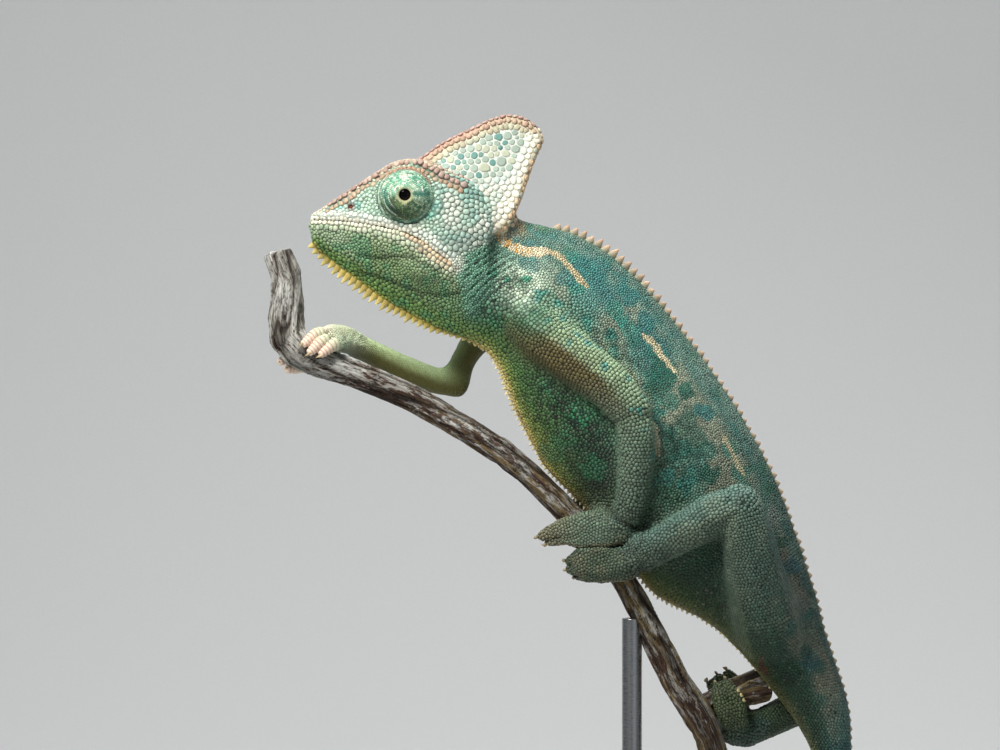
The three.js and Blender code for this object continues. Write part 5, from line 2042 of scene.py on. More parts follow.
                targets = np.arange(0.5 * odd + (side < 0 and not odd), counted[-1], 1.0)
                slot = np.clip(np.searchsorted(counted, targets), 1, len(counted) - 1)
                for target, after in zip(targets, slot):
                    if allowed[after] and allowed[after - 1]:
                        width = max(counted[after] - counted[after - 1], 1e-6)
                        share = min(max((target - counted[after - 1]) / width, 0), 1)
                        places.append(spots_array[after - 1] * (1 - share) + spots_array[after] * share)
                        faces.append(number[after])
            travelled += 0.9 * (float(np.mean(sizes)) if sizes else 0.9)
            odd = 1 - odd
        return np.array(places), np.array(faces)

    def scatter(self) -> tuple[Array, Array, Array, Array]:
        """Sets out beads, then rings, and fills what is left with places no nearer than the spacing there.

        Returns:
            The places, the triangles they lie on, the sizes of the beads, which come first, and how
            much larger or smaller each scale is than the spacing there.
        """
        surface = self.skin.surface
        generator = np.random.default_rng(self.seed)
        rows = []
        for row in BEADS:
            seats = row.places()
            rows.append(self.on_skin(seats + generator.normal(0, 0.1 * row.size, seats.shape) * (1, 0, 1)))
        rows.append(self.on_skin(self.turret_rings()))
        sizes = [row.size for row in BEADS] + [GRANULE]
        bead_size = np.concatenate([np.full(len(seats), size) for (seats, _), size in zip(rows, sizes)])
        bead_size = bead_size * np.exp(np.clip(generator.normal(0, 0.13, len(bead_size)), -0.25, 0.2))
        laid = [self.on_skin(self.honeycomb())] + [self.rings(*course) for course in self.courses()]
        cells = surface.areas / self.pitch_at(slice(None)) ** 2
        corner = surface.triangles[:, 0]
        head = ("head", "lower_jaw", "casque", "eye")
        ringless = self.skin.is_in(*head, "neck", "chest", "trunk", "hand", "foot")[corner]
        share = cells * (2.0 + 6.0 * ringless) * (1 - self.skin.in_socket()[corner])
        count = int(share.sum())
        loose = generator.choice(len(share), count, p=share / share.sum())
        u, v = generator.random((2, count))
        flip = u + v > 1
        u, v = np.where(flip, 1 - u, u), np.where(flip, 1 - v, v)
        a, b, c = (surface.points[surface.triangles[loose, k]] for k in range(3))
        free_places = a + (b - a) * u[:, None] + (c - a) * v[:, None]
        places = np.vstack([p for p, _ in rows] + [p for p, _ in laid] + [free_places])
        faces = np.concatenate([f for _, f in rows] + [f for _, f in laid] + [loose])
        beads = len(bead_size)
        plates = beads + len(laid[0][0])
        ringed = beads + sum(len(p) for p, _ in laid)
        LOG.info("%d beads, %d places in rings", beads, ringed - beads)
        drift = generator.normal(0, 0.13, (ringed - plates, 3))
        places[plates:ringed] += drift * self.pitch_at(faces[plates:ringed])[:, None]
        wobble = np.exp(np.clip(generator.normal(0, 0.13, len(places)), -0.3, 0.3))
        wobble[:beads] = 1
        wobble[beads:plates] = wobble[beads:plates] ** 1.9
        size = self.pitch_at(faces) * wobble
        size[:beads] = bead_size
        kind = np.zeros(len(places), int)
        kind[beads:ringed] = 1
        kind[ringed:] = 2
        apart = np.array([0.0, 0.62, 0.8])[kind] * size
        tree = near_tree(places)
        free = np.ones(len(places), bool)
        kept = []
        for number in range(len(places)):
            if not free[number]:
                continue
            kept.append(number)
            for _, other, gap in tree.find_range(places[number], 0.95 * size[number]):
                is_bead = number < beads
                if kind[other] and gap < (apart[other] + 0.8 * size[number] * is_bead) / (1 + is_bead):
                    free[other] = False
        kept = np.array(kept)
        kept = kept[under_bands(places[kept]) < 0.5]
        return places[kept], faces[kept], bead_size, wobble[kept]

    def neighbours(self, places: Array, count: int) -> tuple[Array, Array]:
        """Finds the nearest other places of each.

        Args:
            places: rows of x, y, z.
            count: how many others are wanted.

        Returns:
            Their numbers, and their offsets from it.
        """
        tree = near_tree(places)
        found = np.array([[n for _, n, _ in tree.find_n(place, count + 1)][1:] for place in places.tolist()])
        return found, places[found] - places[:, None, :]

    def settle(
        self, places: Array, faces: Array, wobble: Array, fixed: int
    ) -> tuple[Array, Array]:
        """Lets the free scales push each other into an even packing on the skin.

        Args:
            places: rows of x, y, z in millimetres.
            faces: the triangles of the skin that they lie on.
            wobble: how much larger or smaller each scale is than the spacing there.
            fixed: how many of the first scales stay where they are.

        Returns:
            The new places, and the triangles that they lie on.
        """
        surface = self.skin.surface
        for _ in range(self.rounds):
            size = surface.read(self.pitch, places, faces) * wobble
            number, offset = self.neighbours(places, 6)
            gap = np.maximum(np.linalg.norm(offset, axis=2), 1e-6)
            rest = 1.1 * (size[:, None] + size[number]) / 2
            pull = np.clip((rest - gap) / rest, 0, 0.6)
            step = -(offset / gap[:, :, None] * pull[:, :, None]).sum(1) * size[:, None] * 0.42
            step[:fixed] = 0
            moved = places + step
            for k in range(fixed, len(moved)):
                spot, _, face, _ = self.tree.find_nearest(moved[k])
                places[k] = spot
                faces[k] = face
        return places, faces

    def raise_domes(
        self, places: Array, faces: Array, bead_size: Array, wobble: Array
    ) -> list[Piece]:
        """Gives each place its scale, as wide as its neighbours leave room for.

        Returns:
            One object for each stretch of the coat.

        Args:
            places: rows of x, y, z in millimetres.
            faces: the triangles of the skin that they lie on.
            bead_size: the sizes of the beads, which come first.
            wobble: how much larger or smaller each scale is than the spacing there.
        """
        surface = self.skin.surface
        beads = len(bead_size)
        normals = unit(surface.read(surface.normals, places, faces))
        size = surface.read(self.pitch, places, faces) * wobble
        size[:beads] = bead_size
        owner = self.skin.nodes[surface.triangles[faces, 0]]
        shares = surface.read(self.shares, places, faces)
        plates = self.plate_share(places) * share_of(shares, Part.CASQUE)
        plates[:beads] = 0
        limbs = share_of(shares, Part.ARM, Part.LEG, Part.HAND, Part.FOOT)
        height = 0.42 + 0.12 * limbs + 0.08 * share_of(shares, Part.HEAD) + 0.08 * share_of(shares, Part.JAW)
        low = share_of(shares, Part.BODY) * (1 - ease(0.3, 0.5, rise_of(places)))
        far = on_far_arm(places) * limbs
        height = height - 0.14 * low - 0.24 * far
        height = height + (0.16 - height) * plates
        heights = [np.full(len(row.places()), row.height) for row in BEADS]
        height[:beads] = np.concatenate([*heights, np.full(len(self.turret_rings()), 0.5)])
        number, offset = self.neighbours(places, 12)
        facing = (normals[number] * normals[:, None, :]).sum(2)
        weight = np.where(facing > 0.1, size[:, None] / (size[:, None] + size[number]), -1)
        top, foot = self.colours(places, normals, shares, plates)
        made = []
        for name, members in self.stretches(owner, places).items():
            for sides in (6, 8):
                chosen = members[(size[members] > 1.12) == (sides == 8)]
                if len(chosen) < 3:
                    continue
                made.append(
                    self.domes(
                        f"scales_{name}" + ("" if sides == 6 else "_large"),
                        places[chosen], normals[chosen], size[chosen], height[chosen], plates[chosen],
                        (top[chosen], foot[chosen]), offset[chosen], weight[chosen], sides,
                    )
                )
        return made

    def stretches(self, owner: Array, places: Array) -> dict[str, Array]:
        """Sorts the scales into stretches of the coat by node and side.

        Args:
            owner: the node that each scale lies on, as a number in NODE_NAMES.
            places: rows of x, y, z in millimetres.

        Returns:
            For each stretch's name, the numbers of its scales.
        """
        names = np.array(NODE_NAMES)[owner]
        side = np.where(places[:, 1] < 0, "_left", "_right")
        halved = ("chest", "trunk", "pelvis", "neck", "head", "lower_jaw")
        coil = ("tail_coil_3", "tail_tip")
        labels = np.array(
            [
                name + s if name in halved else "tail_coil_end" if name in coil else name
                for name, s in zip(names, side)
            ]
        )
        return {label: np.flatnonzero(labels == label) for label in sorted(set(labels))}

    def colours(
        self, places: Array, normals: Array, shares: Array, plates: Array
    ) -> tuple[Array, Array]:
        """Paints each scale by the markings there, with a slight difference between scales.

        Args:
            places: where the scales are.
            normals: the skin's normal there.
            shares: how much of each place belongs to each Part.
            plates: how far each scale is a flat plate of the casque.

        Returns:
            The colours of their tops, and those of their feet, darkened as painted shade.
        """
        generator = np.random.default_rng(self.seed + 1)
        tone = self.markings.tone(places, normals, shares)
        count = len(places)
        eye, casque, head = (share_of(shares, part) for part in (Part.EYE, Part.CASQUE, Part.HEAD))
        far_arm = on_far_arm(places) * share_of(shares, Part.ARM, Part.HAND)
        belly = np.clip(share_of(shares, Part.BODY) - ease(0.25, 0.45, rise_of(places)), 0, 1)
        amount = 0.17 + 0.1 * eye - 0.04 * casque - 0.1 * far_arm - 0.08 * belly
        lighter = np.clip(generator.normal(0.0, 1.0, count), -1.8, 1.8)
        tone = tone * (1.12 + amount * lighter)[:, None]
        choice = generator.random(count)
        body = share_of(shares, Part.BODY) + share_of(shares, Part.TAIL)
        tone = mix(tone, "#a9af95", 0.12 * body * (choice > 0.93))
        cheek = head * ease(-37, -34, places[:, 0]) * (1 - ease(243, 246, places[:, 2]))
        cheek = cheek * above_jaw(places)
        arc, _ = to_line(places, TEAL_ARC)
        patch = ease(0.52, 0.68, cloud(places, 2.4, 52)) * 0.75
        patch += (1 - ease(0.9, 2.0, arc)) * ease(0.25, 0.5, cloud(places, 1.6, 54))
        patch = np.clip(patch, 0, 1) * (0.55 + 0.45 * choice)
        bead = mix("#c4ccc0", "#a0bbad", ease(0.35, 0.65, cloud(places, 4, 53)))
        bead = mix(bead, "#579c94", 0.85 * patch) * (1 + 0.1 * lighter)[:, None]
        bead = bead * (1 - 0.3 * (1 - ease(225, 231, places[:, 2])))[:, None]
        tone = mix(tone, bead, 0.9 * cheek)
        tone = mix(tone, "#a3ccc0", 0.5 * casque * (1 - plates) * (choice < 0.14))
        green = mix("#a9beb0", "#7ba69b", ease(0.42, 0.6, cloud(places, 3.0, 51)))
        green = np.where((choice > 0.84)[:, None], linear("#b5bda6"), green)
        green = np.where(((choice < 0.15) & (places[:, 0] > -30))[:, None], linear("#6ba59c"), green)
        tone = mix(tone, green * (0.66 + 0.26 * choice[:, None]), plates)
        jaw = share_of(shares, Part.JAW)
        # The feet of the scales darker than their tops, as painted shade between the scales.
        dark = 0.36 + 0.38 * far_arm + 0.12 * belly + 0.28 * casque + 0.2 * head + 0.1 * jaw + 0.05 * body
        dark = dark + 0.04 * eye + 0.3 * mint_patch(places) * share_of(shares, Part.BODY)
        foot = tone * dark[:, None]
        foot = mix(foot, "#4f9388", 0.4 * cheek)
        foot = mix(foot, "#eaf1ea", plates)
        start = 0
        for row in BEADS:
            span = slice(start, start + len(row.places()))
            start = span.stop
            own = mix(*row.tops, choice[span])
            tone[span] = tone[span] * (1 - row.own) + own * row.own * (1 + 0.08 * lighter[span])[:, None]
            # The beads' feet darkened as painted shade.
            foot[span] = tone[span] * (0.66 if abs(row.off - 0.5) < 0.01 else 0.5)
        return np.clip(tone, 0.003, 0.95), np.clip(foot, 0.002, 0.95)

    def domes(
        self, name: str, places: Array, normals: Array, size: Array, height: Array,
        plates: Array, tones: tuple[Array, Array], offset: Array, weight: Array, sides: int,
    ) -> Piece:
        """Makes the scales of one stretch: a sunk foot, a shoulder and a rounded top, closed below.

        Args:
            name: the stretch's name.
            places: rows of x, y, z in millimetres.
            normals: the skin's normal at each place.
            size: how wide each scale may be.
            height: its height over its half width.
            plates: how far it is a flat plate of the casque.
            tones: the colours of the tops, and those of the feet.
            offset: the offsets of each scale's neighbours.
            weight: its share of the room towards each, or -1 where that one faces elsewhere.
            sides: how many sides the scales have.

        Returns:
            One object with all of them.
        """
        count = len(places)
        nearest = offset[:, 0]
        east = unit(nearest - (nearest * normals).sum(1, keepdims=True) * normals)
        north = np.cross(normals, east)
        flat_x = (offset * east[:, None, :]).sum(2)
        flat_y = (offset * north[:, None, :]).sum(2)
        gap = np.hypot(flat_x, flat_y)
        ways = np.sort(np.arctan2(flat_y[:, :sides], flat_x[:, :sides]), axis=1)
        between = (ways + np.concatenate([ways[:, 1:], ways[:, :1] + TURN], axis=1)) / 2
        even = np.arange(sides) * TURN / sides
        turn = 0.65 * between + 0.35 * (even + (between - even).mean(1, keepdims=True))
        across, along = np.cos(turn), np.sin(turn)
        toward = flat_x[:, :, None] * across[:, None, :] + flat_y[:, :, None] * along[:, None, :]
        room = gap[:, :, None] ** 2 * weight[:, :, None] / np.maximum(toward, 1e-3)
        limit = np.where((toward > 1e-3) & (weight[:, :, None] > 0), room, 9).min(1)
        widest = (0.78 + 0.34 * plates)[:, None] * size[:, None]
        limit = np.clip(limit, 0.3 * size[:, None], widest) * (self.gap - 0.04 * plates[:, None])
        limit = 0.93 * limit + 0.07 * limit.mean(1, keepdims=True)
        top = limit.mean(1) * height
        directions = across[:, :, None] * east[:, None, :] + along[:, :, None] * north[:, None, :]
        rings = [(1.0, -0.1, 0.0), (0.88, 0.55, 0.85)] + ([(0.6, 0.86, 1.0)] if sides > 6 else [])
        layers, paints = [], []
        for spread, lift, own in rings:
            raised = np.full(count, lift) if lift < 0 else top * (lift + (0.9 - lift) * plates * (lift < 0.6))
            layer = places[:, None, :] + directions * (limit * spread)[:, :, None]
            layers.append(layer + normals[:, None, :] * raised[:, None, None])
            # The foot ring takes the feet's colour, darkened as painted shade.
            share = own + (1 - own) * plates * (own > 0.1)
            paints.append(np.repeat(mix(tones[1], tones[0], share)[:, None, :], sides, axis=1))
        each = np.concatenate([*layers, (places + normals * top[:, None])[:, None, :]], axis=1)
        paint = np.concatenate([*paints, tones[0][:, None, :]], axis=1)
        verts = each.shape[1]
        last = (len(rings) - 1) * sides
        faces = [between_rings(sides, len(rings)), fan_of(sides, last, verts - 1), np.arange(sides)[::-1][None]]
        piece = make_object(name, each.reshape(-1, 3), repeated(faces, count, verts))
        give_colour(piece.data, "tone", paint.reshape(-1, 3))
        rise = np.concatenate([np.full(sides, max(lift, 0.0)) for _, lift, _ in rings] + [[1.0]])
        give_value(piece.data, "rise", np.tile(rise, count))
        self.unwrap(piece, places, verts, sides, len(rings))
        return piece

    def unwrap(self, piece: Piece, places: Array, verts: int, sides: int, rings: int) -> None:
        """Gives each scale a patch 0.003 across at its root's place on the stretch's own unrolled shape.

        Args:
            piece: the stretch.
            places: where its scales are.
            verts: how many vertices a scale has.
            sides: how many sides it has.
            rings: how many rings of vertices it has.
        """
        if "coil" in piece.name:
            turn = np.arctan2(places[:, 2] - COIL_CENTRE[1], places[:, 0] - COIL_CENTRE[0])
            reach = np.hypot(places[:, 2] - COIL_CENTRE[1], places[:, 0] - COIL_CENTRE[0])
            along, around = turn, np.arctan2(places[:, 1], reach - reach.mean())
        else:
            centre = places.mean(0)
            axes = np.linalg.svd(places - centre, full_matrices=False)[2]
            along, wide, deep = ((places - centre) @ axis for axis in axes)
            around = np.arctan2(deep, wide)
        count = len(places)
        lines = max(int(math.sqrt(count)), 1)
        line = np.empty(count, int)
        line[np.argsort(along)] = np.arange(count) * lines // count
        root = np.empty((count, 2))
        root[:, 1] = 0.01 + 0.98 * (line + 0.5) / lines
        for each in range(lines):
            members = np.flatnonzero(line == each)
            members = members[np.argsort(around[members])]
            root[members, 0] = 0.01 + 0.98 * (np.arange(len(members)) + 0.5) / len(members)
        turn = np.tile(np.arange(sides) * TURN / sides, rings)
        reach = np.repeat(np.linspace(0.0015, 0.0006, rings), sides)
        patch = np.vstack([np.stack([np.cos(turn) * reach, np.sin(turn) * reach], 1), [[0, 0]]])
        give_map(piece, (root[:, None, :] + patch[None]).reshape(-1, 2))


@dataclass
class ToeBands:
    """The broad scales that ring the far hand's toes, each a squat barrel let into the one before it."""

    spacing: float = 0.92
    reach: float = 1.3  # from a toe's last corner to the claw's root
    sides: int = 20
    # along each scale, over the spacing, and outward, over the toe's radius
    profile: tuple[tuple[float, float], ...] = (
        (-0.66, 0.6), (-0.56, 0.86), (-0.3, 0.97), (0.05, 1.03),
        (0.32, 1.0), (0.47, 0.9), (0.58, 0.66), (0.64, 0.34),
    )

    def build(self) -> Piece:
        """Rings every banded toe with its scales.

        Returns:
            One object with all of them.
        """
        rings, spreads, pinks, roots = [], [], [], []
        for name, (start, tip) in BANDED_TOES.items():
            for number, toe in enumerate(TOES[name]):
                corner = np.array(toe[-1]) + self.reach * unit(np.array([toe[-1]]) - np.array([toe[-2]]))[0]
                line = along_line((*toe, (*corner[:3], 0.78)), 0.02)
                share = np.linspace(0, 1, len(line))
                begin = start * (1 - self.reach / (0.02 * len(line)))
                count = max(int(round(0.02 * len(line) * (1 - begin) / self.spacing)), 3)
                line[:, :3] += np.array(tip) * ease(start - 0.2, 1, share)[:, None]
                for k in range(count):
                    middle = begin + (1 - begin) * (k + 0.5) / count
                    for along, out in self.profile:
                        at = middle + along * (1 - begin) / count
                        spot = np.array([np.interp(at, share, column) for column in line.T])
                        fore, hind = (
                            np.array([np.interp(at + step, share, column) for column in line.T[:3]])
                            for step in (0.02, -0.02)
                        )
                        rings.append((spot[:3], unit((fore - hind)[None])[0], (0.84 * spot[3] + 0.12) * out))
                        spreads.append(1.0 if k == count - 1 and along > 0 else out)
                        pinks.append(ease(start - 0.1, start + 0.35, np.array([at]))[0])
                    column = list(BANDED_TOES).index(name) * 3 + number
                    roots.append(((column + 0.5) / 6, 0.05 + 0.9 * (k + 0.5) / count))
        return self.barrels(rings, np.array(spreads), np.array(pinks), np.array(roots))

    def barrels(
        self, rings: list[tuple[Array, Array, float]], spreads: Array, pinks: Array, roots: Array
    ) -> Piece:
        """Closes each run of rings into a barrel, cream on the swell and peach in the furrows, which are
        darkened as painted shade.

        Args:
            rings: the middle, the direction and the radius of every ring.
            spreads: how near each ring is to the swell.
            pinks: how far down the toe each ring is, from green to pink.
            roots: each scale's place on the unwrap.

        Returns:
            One object with all of them.
        """
        steps, sides = len(self.profile), self.sides
        turn = TURN * np.arange(sides) / sides
        verts = []
        for centre, ahead, radius in rings:
            across = unit(np.cross(ahead, [0.0, 1.0, 0.0])[None])[0]
            up = np.cross(across, ahead)
            verts.append(centre + radius * (np.cos(turn)[:, None] * across + np.sin(turn)[:, None] * up))
        each = np.array(verts).reshape(len(roots), steps * sides, 3)
        ends = np.stack([each[:, :sides].mean(1), each[:, -sides:].mean(1)], 1)
        each = np.concatenate([each, ends], axis=1)
        faces = repeated(barrel(sides, steps), len(roots), each.shape[1])
        piece = make_object("scales_toe_bands", each.reshape(-1, 3), faces)
        recalculate(piece)
        swell = ease(0.82, 0.98, spreads)
        # Darker in the furrows between the bands, as painted shade.
        furrow = mix("#9aa27a", "#b98468", pinks)
        crown = mix("#c6d0b2", "#ecd3c0", pinks)
        tone = np.repeat(mix(furrow, crown, swell), sides, axis=0).reshape(len(roots), -1, 3)
        tone = np.concatenate([tone, tone[:, :1], tone[:, -1:]], axis=1)
        give_colour(piece.data, "tone", tone.reshape(-1, 3))
        give_value(piece.data, "rise", np.full(each.shape[0] * each.shape[1], 0.6))
        reach = np.repeat(np.linspace(0.0015, 0.0004, steps), sides)
        patch = np.stack([np.cos(np.tile(turn, steps)) * reach, np.sin(np.tile(turn, steps)) * reach], 1)
        patch = np.vstack([patch, [[0.0015, 0], [0, 0]]])
        give_map(piece, (roots[:, None, :] + patch[None]).reshape(-1, 2))
        return piece


# ------------------------------------------------------------------ crests, claws and eyes
@dataclass
class Crest:
    """A row of flattened, slightly raked spines along a guide line, rooted in the skin."""

    name: str
    line: Line
    pitch: float
    tall: tuple[tuple[float, float], ...]  # share of the line, and the height there
    half: float  # half width of a spine's root over its pitch
    lean: float
    colours: tuple[str, str]
    outwards: float  # +1 where the spines stand to the left of the line's run
    flat: float = 0.6  # a spine's thickness over its width

    def build(self, tree: BVHTree) -> Piece:
        """Makes the row as one joined mesh.

        Args:
            tree: a search tree over the skin.

        Returns:
            One joined object.
        """
        flat = along_line(self.line, self.pitch)
        along = np.gradient(flat, axis=0)
        along /= np.linalg.norm(along, axis=1, keepdims=True)
        out = np.stack([-along[:, 1], along[:, 0]], 1) * self.outwards
        generator = np.random.default_rng(5)
        points, tones, seats = [], [], []
        sides, levels = 8, np.array([0.0, 0.3, 0.62, 0.86])
        turn = TURN * np.arange(sides) / sides
        spin = np.stack([np.cos(turn), np.sin(turn)], 1)
        side = np.array([0.0, 1.0, 0.0])
        for k, ((x, z), (dx, dz), (ox, oz)) in enumerate(zip(flat, along, out)):
            share = k / max(len(flat) - 1, 1)
            height = np.interp(share, *np.array(self.tall).T) * generator.uniform(0.78, 1.16)
            begin = Vector((x + ox * 7, 0, z + oz * 7))
            hit = tree.ray_cast(begin, Vector((-ox, 0, -oz)), 14)
            foot = np.array(hit[0] if hit[0] else (x, 0.0, z))
            forward, up = np.array([dx, 0, dz]), np.array([ox, 0.0, oz])
            half = self.half * self.pitch * min(1.0, 0.55 + 0.3 * height)
            for level in levels:
                spread = half * (1 - level) ** 0.85 * (1.0 if level else 1.12)
                rake = self.lean * height * level**1.6
                centre = foot + up * (height * level - 0.7 * (level == 0)) + forward * rake
                points.append(centre + spin @ np.stack([forward * spread, side * spread * self.flat]))
            points.append((foot + up * height + forward * self.lean * height)[None])
            own = generator.uniform(0.85, 1.15)
            at = np.append(np.repeat(levels, sides), 1.0)
            tones.append(mix(*self.colours, at) * own)
            seats.append(((k + 0.5) / len(flat), 0.5))
        below = np.array([(3, 2, 1, 0), (4, 3, 0, 7), (5, 4, 7, 6)])
        quads = np.concatenate([between_rings(sides, len(levels)), below])
        tip = len(levels) * sides
        faces = repeated([quads, fan_of(sides, tip - sides, tip)], len(flat), tip + 1)
        piece = make_object(self.name, np.vstack(points), faces)
        recalculate(piece)
        give_colour(piece.data, "tone", np.vstack(tones))
        give_value(piece.data, "rise", np.tile(0.35 + 0.65 * at, len(flat)))
        patch = 0.0015 * (1 - levels)[:, None, None] * spin
        patch = np.vstack([patch.reshape(-1, 2), [[0, 0]]])
        give_map(piece, (np.array(seats)[:, None, :] + patch[None]).reshape(-1, 2))
        return piece


def recalculate(piece: Piece) -> None:
    """Turns every face of a piece outwards.

    Args:
        piece: the piece.
    """
    work = bmesh.new()
    work.from_mesh(piece.data)
    bmesh.ops.recalc_face_normals(work, faces=work.faces)
    work.to_mesh(piece.data)
    work.free()
    piece.data.shade_smooth()


@dataclass
class Eyeball:
    """One eye: a glossy ball with a raised cornea, of which only the pupil and a thin ring show."""

    side: int  # -1 for the left eye, 1 for the right

    def build(self) -> Piece:
        """Shapes the ball and its cornea.

        Returns:
            The eye.
        """
        bpy.ops.object.select_all(action="DESELECT")
        centre = Vector((EYE.x, self.side * EYE.depth, EYE.z)) * MM
        bpy.ops.mesh.primitive_uv_sphere_add(
            segments=56,
            ring_count=40,
            radius=(EYE.ball - 0.05) * MM,
            location=centre,
            rotation=(math.pi / 2, 0, 0),
        )
        piece = new_piece("eye_left" if self.side < 0 else "eye_right")
        outward = Vector((0, self.side, 0))
        for reach, lift in ((2.6, 0.1), (1.9, 0.14), (1.2, 0.06)):
            for vertex in piece.data.vertices:
                from_axis = math.hypot(vertex.co.x - centre.x, vertex.co.z - centre.z) / MM
                vertex.select = from_axis < reach and (vertex.co - centre).dot(outward) > 0
            bpy.ops.object.mode_set(mode="EDIT")
            bpy.ops.mesh.select_mode(type="VERT")
            bpy.ops.transform.translate(value=outward * lift * MM)
            bpy.ops.mesh.select_all(action="DESELECT")
            bpy.ops.object.mode_set(mode="OBJECT")
        rounding = piece.modifiers.new("rounding", "SUBSURF")
        rounding.levels = rounding.render_levels = 1
        apply_all(piece)
        piece.data.shade_smooth()
        return piece


@dataclass
class LidRim:
    """The round rim of fused lids about the pupil, notched into fine granules."""

    side: int  # -1 for the left eye, 1 for the right
    opening: float = 1.36
    broad: float = 0.78  # half the ring's breadth
    granules: int = 26

    def build(self) -> Piece:
        """Turns a ring and presses its granules.

        Returns:
            The rim.
        """
        bpy.ops.object.select_all(action="DESELECT")
        bpy.ops.mesh.primitive_torus_add(
            major_radius=(self.opening + self.broad) * MM,
            minor_radius=self.broad * MM,
            major_segments=150,
            minor_segments=30,
            location=(0, 0, 0),
            rotation=(math.pi / 2, 0, 0),
        )
        piece = new_piece("lid_rim_left" if self.side < 0 else "lid_rim_right")
        surface = Surface(piece)
        radius = np.maximum(np.hypot(surface.points[:, 0], surface.points[:, 2]), self.opening)
        turn = np.arctan2(surface.points[:, 2], surface.points[:, 0])
        out = 15.56 - 0.13 * (radius - self.opening) ** 1.6
        surface.points[:, 1] = surface.points[:, 1] * 0.4 + self.side * out
        surface.points[:, 0] += EYE.x
        surface.points[:, 2] += EYE.z
        surface.refresh()
        row = (radius - self.opening) / 0.4
        notch = 0.5 + 0.5 * np.cos(turn * self.granules + math.pi * np.floor(row))
        notch *= np.sin(math.pi * (row % 1)) ** 0.5
        surface.push(0.13 * notch * ease(0.05, 0.3, radius - self.opening))
        surface.write()
        # Lighter on the granules' crowns and darker between them, as painted light and painted shade.
        tone = Markings().eye(surface.points) * (0.5 + 0.6 * notch)[:, None]
        tone = mix(tone, "#4d3a20", 1 - ease(0.1, 0.28, radius - self.opening))
        give_colour(piece.data, "tone", tone)
        give_value(piece.data, "rise", notch)
        piece.data.shade_smooth()
        return piece


@dataclass(frozen=True)
class WetCornea:
    """A black pupil in a thin bronze iris under a wet cornea, which gives one small sharp highlight."""

    pupil: float = EYE.pupil
    iris: float = 1.6

    def make(self) -> bpy.types.Material:
        """Builds the finish in rings about the eye's axis.

        Returns:
            The material.
        """
        recipe = Recipe("wet_cornea")
        axis = (EYE.x * MM, 0, EYE.z * MM)
        apart = recipe.add("VectorMath", {0: recipe.place, 1: axis}, 0, operation="SUBTRACT")
        flat = recipe.add("VectorMath", {0: apart, 1: (1, 0, 1)}, 0, operation="MULTIPLY")
        radius = recipe.add("VectorMath", {0: flat}, "Value", operation="LENGTH")
        inner, outer = 1.0, 3.0
        marks = (self.pupil, self.pupil + 0.05, self.iris)
        pupil, edge, iris = ((reach - inner) / (outer - inner) for reach in marks)
        colour = recipe.ramp(
            recipe.span(radius, (inner * MM, outer * MM)),
            (0.0, "#040404"), (pupil, "#060505"), (edge, "#4a3318"), (iris, "#2a1b0e"), (1.0, "#120c07"),
        )
        return recipe.finish({"Base Color": colour, "Roughness": 0.06, "IOR": 1.376, "Specular IOR Level": 0.4})


@dataclass
class Claw:
    """A curved, pointed claw over its solid, with its root set in the toe."""

    name: str
    root: float = 0.5
    sides: int = 12
    steps: int = 12

    def build(self) -> Piece:
        """Sweeps the claw along the curve of its solid.

        Returns:
            The claw.
        """
        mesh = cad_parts[self.name].data
        points = np.array([v.co for v in mesh.vertices]) / MM
        points = np.unique(points.round(3), axis=0)
        centre = points.mean(0)
        axis = np.linalg.svd(points - centre)[2][0]
        along = (points - centre) @ axis
        spread = np.linalg.norm(points - centre - along[:, None] * axis, axis=1)
        if spread[along > 0].mean() > spread[along < 0].mean():
            axis, along = -axis, -along
        share = (along - along.min()) / np.ptp(along)
        curve = np.linalg.lstsq(np.stack([np.ones(len(share)), share, share**2], 1), points, rcond=None)[0]
        steps = np.linspace(-0.35, 0.52, self.steps)
        middle = curve[0] + steps[:, None] * curve[1] + (steps * np.maximum(steps, 0))[:, None] * curve[2]
        ahead = unit(np.gradient(middle, axis=0))
        bend = curve[2] - (curve[2] @ axis) * axis
        bend = bend / max(np.linalg.norm(bend), 1e-6)
        across = unit(np.cross(ahead, bend))
        up = np.cross(across, ahead)
        size = self.root * (1 - np.clip((steps + 0.1) / 0.62, 0, 1) ** 1.1) + 0.03
        turn = TURN * np.arange(self.sides) / self.sides
        rings = (
            middle[:, None, :]
            + up[:, None, :] * (np.cos(turn) * 1.0)[None, :, None] * size[:, None, None]
            + across[:, None, :] * (np.sin(turn) * 0.72)[None, :, None] * size[:, None, None]
        )
        verts = np.vstack([rings.reshape(-1, 3), middle[:1], middle[-1:] + ahead[-1:] * 0.05])
        piece = make_object("horn_" + self.name, verts, barrel(self.sides, self.steps))
        recalculate(piece)
        tint = np.concatenate([np.repeat(np.clip(steps, 0, 1), self.sides), [0, 1]])
        tint = 0.3 * tint if middle[0, 0] < -50 else 0.5 + 0.5 * tint
        give_value(piece.data, "along", tint)
        return piece


@dataclass(frozen=True)
class ClawHorn:
    """Horn: amber-cream at the root, browner at the point, smooth with a soft gloss."""

    grain: float = 0.3  # mm between the fibres

    def make(self) -> bpy.types.Material:
        """Builds the finish along each claw.

        Returns:
            The material.
        """
        recipe = Recipe("polished_horn")
        colour = recipe.ramp(recipe.read("along"), (0.0, "#c2b18a"), (1.0, "#5e4c34"))
        streak = recipe.span(recipe.noise(1 / (self.grain * MM)), end=(0.8, 1.15))
        return recipe.finish({"Base Color": recipe.shade(colour, streak), "Roughness": 0.34, "IOR": 1.54})


